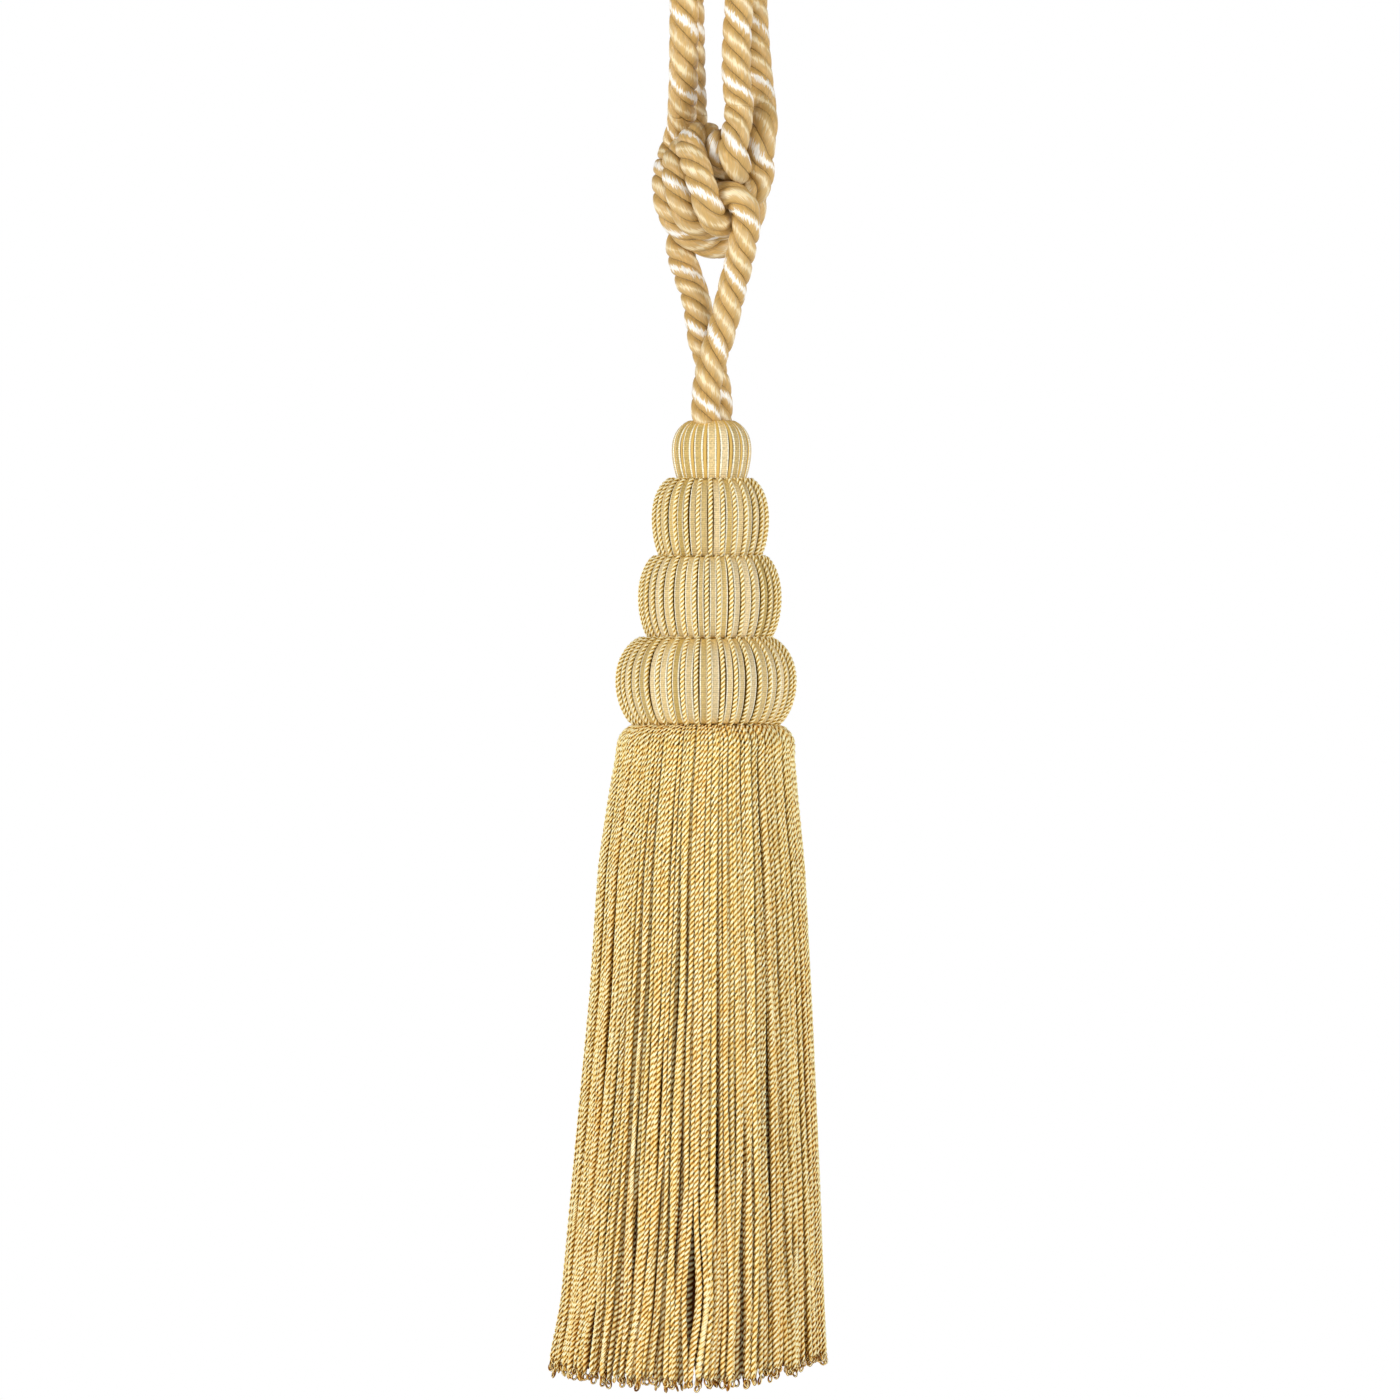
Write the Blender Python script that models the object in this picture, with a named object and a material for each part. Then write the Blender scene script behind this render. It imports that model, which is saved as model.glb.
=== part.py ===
"""Tassel tieback: one laid rope tied in a knot between two hanging loops and a
tassel of four wound bells over a skirt of twisted bullion strands.

Lengths below are in millimetres and are scaled to metres as the meshes are made.
The origin is the point inside the top of the two loops, where a hook holds them.
"""

import math
import random

import bmesh
import bpy
import numpy as np
from mathutils import Vector

MM = 0.001
CLEARANCE = 0.3

# Rope
ROPE_RADIUS = 4.7
SQUEEZED_RADIUS = 4.05
ROPE_PITCH = 19.4
STEPS_PER_TURN = 7
PLIES = 3
PLY_SHOULDER = math.radians(26.0)
SHOULDER_SCALE = 0.985
VALLEY_SCALE = 0.78
SQUEEZE_BLEND = 10.0
TIGHTEST_BEND = 5.6
SETTLE_MARGIN = 0.55
BEND_SHARE = 0.95

# Bells: name, top and foot heights, radius at top, widest and foot, count of wraps,
# sideways shift of the middle
BELLS = [
    ("bell_1", -151.9, -170.5, 7.8, 13.1, 11.3, 18, 0.5),
    ("bell_2", -170.8, -195.1, 13.7, 18.4, 15.9, 28, 0.1),
    ("bell_3", -195.4, -221.0, 18.3, 22.6, 19.2, 35, -0.1),
    ("bell_4", -221.3, -248.0, 21.6, 28.6, 23.5, 41, -1.3),
]
BELL_RINGS = 6
BELL_ARC = 66.0
WRAP_PLACES = (0.0, 0.26, 0.74)
WRAP_SUNK = (1.0, 0.0, 0.0)
GROOVE_DEPTH = 1.1

# Skirt of bullion: depth below the hook, outer radius and sideways shift of the middle
SKIRT_ROWS = [
    (251.0, 27.0, -1.9),
    (256.5, 28.6, -1.5),
    (272.0, 30.6, -2.2),
    (293.4, 33.2, -2.7),
    (335.0, 35.6, -3.0),
    (395.5, 39.8, -4.5),
    (432.0, 42.1, -5.6),
    (450.0, 44.4, -7.0),
    (462.0, 45.0, -7.4),
]
STRANDS = 192
STRAND_SIDES = 3
STRAND_RADIUS = 1.15
STRAND_INSET = 1.0
ROOT_LAYERS = 4
LAYER_STEP = 2.0
END_LAYERS = 2
END_LAYER_STEP = 2.6
ROOT_REACH = 18.0
SHOULDER_CENTRE = 21.0
SHOULDER_Z = -256.3
SHOULDER_ARC = 7.8
WAIST_Z = -304.0
SKIRT_END_Z = -459.0
SIDE_RISE = 4.0
RIGHT_RISE = 4.0
END_SCATTER = 1.4
SKIRT_SEED = 7
HEADING_RADIUS = 20.4
HEADING_TOP_Z = -248.3
HEADING_FOOT_Z = -259.0
HEADING_SIDES = 37
HEADING_SHIFT = -1.3

# Knot centre, from the hook point
KNOT_X = 0.9
KNOT_Z = -79.2

# The rope's route from the right leg's foot to the left leg's foot, one row a point:
# x to the right, y away from the viewer and z up, all from the knot's centre
RIGHT_LEG = [
    (-2.2, -4.5, -72.1),
    (-2.2, -4.7, -65.7),
    (-1.4, -5.0, -59.0),
    (0.0, -5.2, -53.0),
    (2.2, -5.4, -46.4),
    (4.0, -5.8, -39.8),
    (5.9, -7.0, -31.6),
    (8.0, -9.0, -23.0),
]
FRONT_BEND = [
    (9.3, -11.5, -15.0),
    (10.0, -12.4, -9.9),
    (9.8, -13.0, -6.0),
    (8.2, -13.0, -3.0),
    (5.8, -11.2, -1.8),
    (3.6, -7.6, -2.0),
    (1.2, -3.4, -1.0),
    (-1.6, 1.4, 2.2),
    (-4.8, 7.4, 4.0),
    (-7.6, 13.6, 5.6),
    (-7.8, 17.8, 11.0),
    (-6.8, 18.6, 18.0),
]
LEFT_LOOP = [
    (-6.4, 18.6, 26.0),
    (-6.8, 17.6, 36.0),
    (-7.1, 15.6, 48.0),
    (-7.3, 13.6, 60.0),
    (-7.6, 13.0, 71.9),
]
LEFT_LOOP_DOWN = [
    (-8.8, -11.0, 71.9),
    (-9.1, -10.6, 60.0),
    (-9.2, -8.2, 48.0),
    (-9.3, -3.4, 37.0),
    (-9.4, 2.8, 27.0),
]
TURNS = [
    (-9.0, 8.4, 19.5),
    (-9.2, 10.2, 14.0),
    (-10.4, 8.8, 9.6),
    (-12.0, 5.8, 5.6),
    (-13.2, 3.4, 2.0),
    (-13.6, 1.8, -2.0),
    (-12.8, 1.2, -5.8),
    (-11.4, 1.2, -8.4),
    (-9.2, 1.8, -10.8),
    (-6.4, 2.6, -12.7),
    (-2.1, 3.6, -14.0),
    (1.7, 4.8, -14.6),
    (5.0, 7.6, -13.0),
    (5.6, 11.6, -9.2),
    (3.6, 14.4, -3.4),
    (0.8, 14.6, 3.0),
    (-2.6, 11.0, 10.0),
    (-6.2, 6.0, 13.6),
    (-9.2, 1.2, 13.8),
    (-11.0, -2.0, 10.4),
    (-11.0, -4.2, 6.4),
    (-10.2, -5.6, 2.2),
    (-9.4, -6.4, -2.1),
    (-8.6, -6.2, -5.3),
    (-7.2, -5.2, -8.4),
    (-5.0, -4.0, -10.0),
    (-1.8, -1.4, -10.2),
    (1.6, 3.4, -9.2),
    (5.2, 8.8, -5.0),
    (7.0, 11.2, 1.0),
    (6.4, 11.2, 7.0),
    (3.4, 8.8, 12.4),
    (-0.2, 3.8, 15.6),
    (-3.6, -3.2, 15.8),
    (-5.2, -8.8, 12.8),
    (-4.8, -11.8, 9.4),
    (-4.0, -13.2, 6.4),
    (-2.8, -13.9, 2.8),
    (-1.2, -14.0, -0.8),
    (0.2, -13.4, -4.2),
    (1.9, -10.6, -7.0),
    (4.6, -5.4, -8.0),
    (8.4, -1.6, -7.2),
    (10.6, 2.6, -3.0),
    (11.2, 5.0, 3.4),
    (9.6, 4.4, 9.8),
    (6.0, 1.6, 14.6),
    (1.8, -2.6, 16.2),
    (-0.6, -5.6, 13.6),
    (-0.6, -5.8, 10.0),
    (1.2, -5.2, 6.4),
    (4.6, -5.0, 4.4),
    (7.2, -7.8, 3.8),
    (7.8, -11.4, 5.0),
    (6.6, -14.0, 8.4),
    (6.0, -14.4, 12.2),
    (6.6, -13.4, 16.2),
    (7.6, -11.8, 21.0),
]
RIGHT_LOOP = [
    (8.2, -11.0, 26.0),
    (7.4, -12.0, 36.0),
    (7.6, -12.2, 48.0),
    (8.4, -11.6, 60.0),
    (9.0, -11.0, 71.9),
]
RIGHT_LOOP_DOWN = [
    (12.2, 13.0, 71.9),
    (12.9, 11.8, 60.0),
    (13.6, 8.8, 48.0),
    (14.6, 4.8, 36.0),
    (15.6, 0.4, 26.0),
]
BACK_BEND = [
    (15.6, -4.4, 20.0),
    (14.4, -5.6, 14.8),
    (13.4, -5.0, 10.4),
    (13.4, -4.6, 6.0),
    (13.4, -4.4, 2.6),
    (12.4, -4.0, -0.8),
    (9.6, -3.0, -3.0),
    (5.8, -0.6, -3.8),
    (1.6, 4.0, -3.6),
    (-3.0, 8.4, -5.8),
    (-7.4, 11.2, -10.0),
]
LEFT_LEG = [
    (-9.8, 11.2, -16.6),
    (-9.2, 9.6, -21.0),
    (-7.2, 7.4, -27.6),
    (-5.2, 5.6, -34.0),
    (-4.2, 4.8, -41.0),
    (-3.0, 4.6, -48.0),
    (-0.8, 4.6, -54.0),
    (0.8, 4.7, -60.0),
    (1.7, 4.7, -66.0),
    (1.6, 4.7, -72.1),
]


def half_circle(start, end, count):
    """Points between two runs, bulging up, on a half circle."""
    start, end = Vector(start), Vector(end)
    centre = (start + end) / 2.0
    reach = (end - start) / 2.0
    rise = Vector((0.0, 0.0, reach.length))
    points = []
    for i in range(1, count + 1):
        angle = math.pi * i / (count + 1)
        points.append(tuple(centre - reach * math.cos(angle) + rise * math.sin(angle)))
    return points


def smooth_curve(points, per_span=12):
    """A centripetal Catmull-Rom curve through the points."""
    p = np.array(points, float)
    p = np.vstack([2 * p[0] - p[1], p, 2 * p[-1] - p[-2]])
    curve = []
    for i in range(1, len(p) - 2):
        knots = [0.0]
        for a, b in zip(p[i - 1:i + 2], p[i:i + 3]):
            knots.append(knots[-1] + math.sqrt(np.linalg.norm(b - a)))
        t0, t1, t2, t3 = knots
        for t in np.linspace(t1, t2, per_span, endpoint=False):
            a1 = (t1 - t) / (t1 - t0) * p[i - 1] + (t - t0) / (t1 - t0) * p[i]
            a2 = (t2 - t) / (t2 - t1) * p[i] + (t - t1) / (t2 - t1) * p[i + 1]
            a3 = (t3 - t) / (t3 - t2) * p[i + 1] + (t - t2) / (t3 - t2) * p[i + 2]
            b1 = (t2 - t) / (t2 - t0) * a1 + (t - t0) / (t2 - t0) * a2
            b2 = (t3 - t) / (t3 - t1) * a2 + (t - t1) / (t3 - t1) * a3
            curve.append((t2 - t) / (t2 - t1) * b1 + (t - t1) / (t2 - t1) * b2)
    curve.append(p[-2])
    return np.array(curve)


def run_lengths(points):
    steps = np.linalg.norm(np.diff(points, axis=0), axis=1)
    return np.concatenate([[0.0], np.cumsum(steps)])


def resample(points, step):
    """Points one step apart along the curve, ends kept."""
    along = run_lengths(points)
    count = max(2, int(round(along[-1] / step)) + 1)
    places = np.linspace(0.0, along[-1], count)
    return np.column_stack([np.interp(places, along, points[:, k]) for k in range(3)])


def nearest(points, target):
    return int(np.argmin(np.linalg.norm(points - np.array(target), axis=1)))


def radii_along(points, first, last):
    """Rope radius at each point: squeezed in the knot's span, full outside it."""
    along = run_lengths(points)
    into = np.clip((along - along[first]) / SQUEEZE_BLEND, 0.0, 1.0)
    out = np.clip((along[last] - along) / SQUEEZE_BLEND, 0.0, 1.0)
    return ROPE_RADIUS - (ROPE_RADIUS - SQUEEZED_RADIUS) * np.minimum(into, out)


def settle(points, radii, gap, rounds=420, neighbours=4):
    """Presses the rope's turns apart until they lie side by side and don't cross."""
    home = points.copy()
    placed = points.copy()
    n = len(placed)
    index = np.arange(n)
    apart = np.abs(index[:, None] - index[None, :]) > neighbours
    wanted = radii[:, None] + radii[None, :] + gap
    hold = np.array([0.16, 0.012, 0.16])
    sharpest = (ROPE_PITCH / STEPS_PER_TURN) ** 2 / (2.0 * TIGHTEST_BEND)
    for round_number in range(rounds):
        last_rounds = round_number > rounds - 120
        difference = placed[:, None, :] - placed[None, :, :]
        distance = np.linalg.norm(difference, axis=2) + 1e-9
        overlap = np.where(apart, np.maximum(wanted - distance, 0.0), 0.0)
        push = (difference / distance[:, :, None] * overlap[:, :, None]).sum(axis=1)
        touching = np.maximum((overlap > 0.0).sum(axis=1), 1)[:, None]
        move = 0.45 * push / np.sqrt(touching)
        bend = np.zeros_like(placed)
        bend[1:-1] = (placed[:-2] + placed[2:]) / 2.0 - placed[1:-1]
        home_bend = np.zeros_like(home)
        home_bend[1:-1] = (home[:-2] + home[2:]) / 2.0 - home[1:-1]
        move += 0.30 * (bend - home_bend)
        size = np.linalg.norm(bend, axis=1)[:, None] + 1e-9
        ease = 0.22 * bend * np.maximum(1.0 - sharpest / size, 0.0)
        move += ease
        move[:-1] -= ease[1:] / 2.0
        move[1:] -= ease[:-1] / 2.0
        move += hold * (home - placed) * (0.15 if last_rounds else 1.0)
        move[:2] = 0.0
        move[-2:] = 0.0
        placed = placed + move
    return placed


def slimmed(points, radii):
    """Radii held below the radius of each bend, so that no ring folds into the next."""
    slim = radii.copy()
    for i in range(1, len(points) - 1):
        offset = (points[i - 1] + points[i + 1]) / 2.0 - points[i]
        step = np.linalg.norm(points[i + 1] - points[i - 1]) / 2.0
        bend_radius = step ** 2 / (2.0 * np.linalg.norm(offset) + 1e-9)
        for k in (i - 1, i, i + 1):
            slim[k] = min(slim[k], BEND_SHARE * bend_radius)
    return slim


def rope_route():
    """The whole rope's centreline and where it is cut into its named stretches."""
    left_top = half_circle(LEFT_LOOP[-1], LEFT_LOOP_DOWN[0], 9)
    right_top = half_circle(RIGHT_LOOP[-1], RIGHT_LOOP_DOWN[0], 9)
    rows = (
        RIGHT_LEG + FRONT_BEND
        + LEFT_LOOP + left_top + LEFT_LOOP_DOWN
        + TURNS
        + RIGHT_LOOP + right_top + RIGHT_LOOP_DOWN
        + BACK_BEND + LEFT_LEG
    )
    step = ROPE_PITCH / STEPS_PER_TURN
    points = resample(smooth_curve(rows), step)
    cuts = [nearest(points, row) for row in (
        LEFT_LOOP[0], LEFT_LOOP_DOWN[-1], RIGHT_LOOP[0], RIGHT_LOOP_DOWN[-1])]
    radii = np.full(len(points), ROPE_RADIUS)
    squeezed = [
        (nearest(points, FRONT_BEND[0]), cuts[0]),
        (nearest(points, TURNS[1]), nearest(points, TURNS[-2])),
        (nearest(points, BACK_BEND[1]), nearest(points, LEFT_LEG[0])),
    ]
    for first, last in squeezed:
        radii = np.minimum(radii, radii_along(points, first, last))
    points = settle(points, radii, CLEARANCE + SETTLE_MARGIN)
    radii = slimmed(points, radii)
    return points + np.array([KNOT_X, 0.0, KNOT_Z]), radii, cuts


def turning_frames(points):
    """Two crosswise directions at each point, carried along with the least turning."""
    ahead = np.gradient(points, axis=0)
    ahead /= np.linalg.norm(ahead, axis=1)[:, None]
    across = np.cross(ahead[0], (0.0, 1.0, 0.0))
    across /= np.linalg.norm(across)
    firsts, seconds = [], []
    for direction in ahead:
        across = across - direction * np.dot(across, direction)
        across /= np.linalg.norm(across)
        firsts.append(across)
        seconds.append(np.cross(direction, across))
    return np.array(firsts), np.array(seconds)


def ply_section():
    """Angle and share of the radius for the points round a laid rope of three plies."""
    section = []
    for ply in range(PLIES):
        middle = 2.0 * math.pi * ply / PLIES
        section.append((middle - PLY_SHOULDER, SHOULDER_SCALE))
        section.append((middle + PLY_SHOULDER, SHOULDER_SCALE))
        section.append((middle + math.pi / PLIES, VALLEY_SCALE))
    return section


def rope_rings(points, radii, along, frames):
    """One ring of points for each place on the rope, turned with the lay."""
    rings = []
    for place, radius, length, first, second in zip(points, radii, along, *frames):
        turn = -2.0 * math.pi * length / ROPE_PITCH
        ring = []
        for angle, scale in ply_section():
            a = angle + turn
            ring.append(place + radius * scale * (first * math.cos(a) + second * math.sin(a)))
        rings.append(ring)
    return rings


def skin(mesh_tool, rings):
    """Joins rings of points, in order, into one closed tube with flat ends."""
    loops = [[mesh_tool.verts.new(Vector(p) * MM) for p in ring] for ring in rings]
    count = len(loops[0])
    for near, far in zip(loops, loops[1:]):
        for k in range(count):
            k2 = (k + 1) % count
            mesh_tool.faces.new((near[k], near[k2], far[k2]))
            mesh_tool.faces.new((near[k], far[k2], far[k]))
    mesh_tool.faces.new(list(reversed(loops[0])))
    mesh_tool.faces.new(loops[-1])


def cloth_material(name, colour, roughness):
    material = bpy.data.materials.new(name)
    material.use_nodes = True
    shader = material.node_tree.nodes["Principled BSDF"]
    shader.inputs["Base Color"].default_value = (*colour, 1.0)
    shader.inputs["Roughness"].default_value = roughness
    shader.inputs["Metallic"].default_value = 0.0
    return material


def new_object(name, mesh_tool, material, collection):
    mesh = bpy.data.meshes.new(name)
    mesh_tool.to_mesh(mesh)
    mesh_tool.free()
    mesh.materials.append(material)
    made = bpy.data.objects.new(name, mesh)
    collection.objects.link(made)
    return made


def build_ropes(collection, material):
    """The rope as five stretches, each a tube that meets the next face to face."""
    points, radii, cuts = rope_route()
    along = run_lengths(points)
    firsts, seconds = turning_frames(points)
    ends = [0] + cuts + [len(points) - 1]
    names = ("leg_right", "loop_left", "knot_turns", "loop_right", "leg_left")
    for name, start, stop in zip(names, ends, ends[1:]):
        stretch = slice(start, stop + 1)
        places = points[stretch].copy()
        for end, inner in ((0, 1), (-1, -2)):
            if (start, stop)[end] in cuts:
                inward = places[inner] - places[end]
                places[end] += inward / np.linalg.norm(inward) * CLEARANCE / 2.0
        rings = rope_rings(
            places, radii[stretch], along[stretch], (firsts[stretch], seconds[stretch]))
        tool = bmesh.new()
        skin(tool, rings)
        made = new_object(name, tool, material, collection)
        made.data.shade_smooth()
        made.data.set_sharp_from_angle(angle=math.radians(50.0))


def bell_outline(top, widest, foot, height):
    """Radius and drop for rings down one bell, bulging between its top and its foot."""
    rows = []
    for i in range(BELL_RINGS):
        angle = math.radians(BELL_ARC * (2.0 * i / (BELL_RINGS - 1) - 1.0))
        level = (math.sin(angle) / math.sin(math.radians(BELL_ARC)) + 1.0) / 2.0
        bulge = (math.cos(angle) - math.cos(math.radians(BELL_ARC)))
        bulge /= 1.0 - math.cos(math.radians(BELL_ARC))
        base = top + (foot - top) * level
        rows.append((base + (widest - base) * bulge, level * height))
    return rows


def build_bell(row, collection, material):
    """A wound mould: broad ribbons with the grooves between them drawn in."""
    name, z_top, z_foot, top, widest, foot, wraps, shift = row
    tool = bmesh.new()
    rings = []
    for radius, drop in bell_outline(top, widest, foot, z_top - z_foot):
        ring = []
        for k in range(wraps):
            for place, sunk in zip(WRAP_PLACES, WRAP_SUNK):
                angle = 2.0 * math.pi * (k + place) / wraps
                r = radius - sunk * GROOVE_DEPTH
                ring.append((shift + r * math.cos(angle), r * math.sin(angle), z_top - drop))
        rings.append(list(reversed(ring)))
    skin(tool, rings)
    made = new_object(name, tool, material, collection)
    made.data.shade_smooth()
    made.data.set_sharp_from_angle(angle=math.radians(25.0))


def skirt_reach(z):
    """Outer radius of the skirt and the sideways shift of its middle at a height."""
    levels = [row[0] for row in SKIRT_ROWS]
    reach = np.interp(-z, levels, [row[1] for row in SKIRT_ROWS])
    shift = np.interp(-z, levels, [row[2] for row in SKIRT_ROWS])
    return float(reach), float(shift)


def strand_route(number, chance):
    """Centre points and thickness shares of one strand, from its root to its end."""
    angle = 2.0 * math.pi * number / STRANDS
    outward = Vector((math.cos(angle), math.sin(angle), 0.0))
    arc = SHOULDER_ARC - STRAND_INSET - LAYER_STEP * (number % ROOT_LAYERS)
    sink = STRAND_INSET + LAYER_STEP * (number % ROOT_LAYERS)
    end_sink = STRAND_INSET + END_LAYER_STEP * (number % END_LAYERS)
    route = []
    for share, turn in ((0.70, 90.0), (1.0, 50.0), (1.0, 0.0)):
        turn = math.radians(turn)
        reach = SHOULDER_CENTRE + arc * math.cos(turn)
        if not route:
            reach = ROOT_REACH
        z = SHOULDER_Z + arc * math.sin(turn)
        route.append((outward * reach + Vector((HEADING_SHIFT, 0.0, z)), share))
    side = outward.x
    end_z = SKIRT_END_Z + SIDE_RISE * abs(side) ** 2.0 + RIGHT_RISE * max(side, 0.0)
    end_z += chance.uniform(-END_SCATTER, END_SCATTER)
    for z, layer_sink, share in ((WAIST_Z, None, 1.0), (end_z, end_sink, 1.0)):
        reach, shift = skirt_reach(z)
        if layer_sink is None:
            along = (WAIST_Z - SHOULDER_Z) / (SKIRT_END_Z - SHOULDER_Z)
            layer_sink = sink + (end_sink - sink) * along
        place = outward * (reach - layer_sink) + Vector((shift, 0.0, z))
        route.append((place, share))
    return route


def strand_rings(route):
    """Three-sided rings along a strand, one corner turned outward."""
    places = [place for place, share in route]
    rings = []
    for i, (place, share) in enumerate(route):
        ahead = places[min(i + 1, len(places) - 1)] - places[max(i - 1, 0)]
        ahead.normalize()
        outward = Vector((places[-1].x, places[-1].y, 0.0))
        across = ahead.cross(outward).normalized()
        facing = across.cross(ahead).normalized()
        ring = []
        for k in range(STRAND_SIDES):
            a = 2.0 * math.pi * k / STRAND_SIDES
            ring.append(place + STRAND_RADIUS * share * (facing * math.cos(a) + across * math.sin(a)))
        rings.append(ring)
    return rings


def build_skirt(collection, material):
    """Bullion strands, standing apart, with their roots fused in a round heading."""
    chance = random.Random(SKIRT_SEED)
    tool = bmesh.new()
    for number in range(STRANDS):
        skin(tool, strand_rings(strand_route(number, chance)))
    skirt = new_object("skirt", tool, material, collection)

    head_tool = bmesh.new()
    bmesh.ops.create_cone(
        head_tool, cap_ends=True, segments=HEADING_SIDES,
        radius1=HEADING_RADIUS * MM, radius2=HEADING_RADIUS * MM,
        depth=(HEADING_TOP_Z - HEADING_FOOT_Z) * MM)
    middle = (HEADING_TOP_Z + HEADING_FOOT_Z) / 2.0
    bmesh.ops.translate(
        head_tool, verts=head_tool.verts, vec=(HEADING_SHIFT * MM, 0.0, middle * MM))
    cutters = bpy.data.collections.new("helpers")
    bpy.context.scene.collection.children.link(cutters)
    heading = new_object("heading", head_tool, material, cutters)
    heading.hide_render = True
    heading.display_type = "WIRE"
    join = skirt.modifiers.new("heading", "BOOLEAN")
    join.operation = "UNION"
    join.solver = "EXACT"
    join.object = heading


def clear_scene():
    for item in list(bpy.data.objects):
        bpy.data.objects.remove(item, do_unlink=True)


def main():
    clear_scene()
    collection = bpy.data.collections.new("tassel_tieback")
    bpy.context.scene.collection.children.link(collection)
    build_ropes(collection, cloth_material("rope", (0.56, 0.36, 0.13), 0.45))
    wraps = cloth_material("bell_wraps", (0.78, 0.60, 0.32), 0.40)
    for row in BELLS:
        build_bell(row, collection, wraps)
    build_skirt(collection, cloth_material("bullion", (0.82, 0.60, 0.28), 0.50))


main()
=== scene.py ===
"""Looks of the tassel tieback: a knotted three-ply rope, wound bells and a bullion skirt.

Lengths are in millimetres and are scaled to metres as the meshes are made. The origin
is the hook point inside the tops of the two loops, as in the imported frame.
"""

import math
import random

import bpy
import numpy as np
from mathutils import Matrix, Vector

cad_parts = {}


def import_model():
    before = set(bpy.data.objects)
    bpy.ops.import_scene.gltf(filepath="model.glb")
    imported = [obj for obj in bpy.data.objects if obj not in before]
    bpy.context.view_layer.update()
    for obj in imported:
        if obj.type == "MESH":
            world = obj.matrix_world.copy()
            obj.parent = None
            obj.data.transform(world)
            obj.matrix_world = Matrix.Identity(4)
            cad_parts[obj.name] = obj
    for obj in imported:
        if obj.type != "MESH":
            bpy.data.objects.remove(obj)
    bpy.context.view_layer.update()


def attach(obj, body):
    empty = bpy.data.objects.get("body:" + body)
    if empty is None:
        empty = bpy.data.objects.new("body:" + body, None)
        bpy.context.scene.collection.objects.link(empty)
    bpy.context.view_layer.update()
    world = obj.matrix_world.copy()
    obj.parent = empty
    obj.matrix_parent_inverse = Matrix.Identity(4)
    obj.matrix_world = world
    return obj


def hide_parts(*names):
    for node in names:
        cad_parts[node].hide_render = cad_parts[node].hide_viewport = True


MM = 0.001

# Photograph: millimetres to a pixel, and the pixels that show the hook point's place
PIXEL_MM = 0.318
PHOTO_SIDE = 1400
ORIGIN_PIXEL_X = 710.0
TOP_EDGE_Z = -18.0
CAMERA_DISTANCE = 2600.0
SENSOR_MM = 36.0

# Smallest length that is divided by, a full turn and the turn used by random draws
TINY = 1e-9
FULL_TURN = math.tau
ROUGH_TURN = 6.28

# Rope
ROPE_RADIUS = 4.7
SQUEEZED_RADIUS = 4.05
ROPE_PITCH = 19.4
STEPS_PER_TURN = 7
SQUEEZE_BLEND = 10.0
TIGHTEST_BEND = 5.6
BEND_SHARE = 1.2
PLIES = 3
LOBE_DEGREES = (-60.0, -55.0, -46.0, -34.0, -20.0, -7.0, 7.0, 20.0, 34.0, 46.0, 55.0)
PLY_OFFSET = 2.5
PLY_ACROSS = 3.15
PLY_OUT = 2.2
FINE_STEPS = 5
ROPE_SINK = 1.6
FIBRE_SLANT = -1.35
CREAM_PLY_NUMBER = 0
CREAM_DEGREES = 50.0
LOOP_TOP_POINTS = 9
BEND_WINDOW = np.ones(5)
ROPE_NAMES = ("leg_right", "loop_left", "knot_turns", "loop_right", "leg_left")

# Settling of the rope: gap, rounds, last rounds with a weak pull home, neighbours along the
# rope that don't push, and the shares of the push, bend and pull that a round moves by
SETTLE_GAP = 0.85
SETTLE_ROUNDS = 420
WEAK_ROUNDS = 120
NEAR_POINTS = 4
PUSH_SHARE = 0.45
SMOOTH_SHARE = 0.30
EASE_SHARE = 0.22
HOME_PULL = np.array([0.16, 0.012, 0.16])
WEAK_SHARE = 0.15

# Extra turning of the plies that brings the white flecks where the photograph has them:
# millimetres along the rope from the right leg's foot, and degrees
PLY_SHIFTS = [
    (0.0, -158.0), (26.0, -149.0), (48.0, -97.0), (68.0, -75.0),
    (238.0, 54.0), (260.0, 112.0), (317.0, 99.0), (393.0, 119.0),
    (490.0, 165.0), (545.0, 290.0), (562.0, 312.0), (576.0, 482.0),
    (600.0, 488.0), (620.0, 507.0), (697.0, 628.0), (717.0, 645.0),
    (742.0, 764.0), (805.0, 827.0),
]

# Bells: name, top and foot heights, radius at top, widest and foot, count of wraps,
# sideways shift of the middle
BELLS = [
    ("bell_1", -151.9, -170.5, 7.8, 13.1, 11.3, 18, 0.5),
    ("bell_2", -170.8, -195.1, 13.7, 18.4, 15.9, 28, 0.1),
    ("bell_3", -195.4, -221.0, 18.3, 22.6, 19.2, 35, -0.1),
    ("bell_4", -221.3, -248.0, 21.6, 28.6, 23.5, 41, -1.3),
]
SATIN_BELL = "bell_1"
BELL_ARC = 66.0
BELL_ROWS = 30
BELL_CORE_SINK = 1.0
BELL_INSET = 0.55
CORE_SIDES = 96
# Rows that close a bell: how far they lie inward from its end and into its height
TOP_NECK = np.array([(4.5, 0.4), (1.6, 0.2)])
FOOT_NECK = np.array([(1.4, 0.2), (3.5, 0.4)])
# Ochre at a bell's necks: the slope that it starts at and grows over, and its strength
NECK_SLOPE = 0.54
NECK_BLEND = 0.40
NECK_TINT = 0.8
# Ribbons: share of the pitch, also on the satin bell and at the necks, ranges that light,
# width and place are drawn from, and the tint of the body with its painted shade in the dips
RIBBON_SHARE = 0.58
SATIN_BELL_SHARE = 0.70
RIBBON_LIMIT = 0.62
RIBBON_LIGHT = (0.86, 1.08)
RIBBON_WIDTH = (0.84, 1.06)
RIBBON_SCATTER = 0.07
GOLD_POWER = 1.2
BODY_SHADE = 0.92
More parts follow.
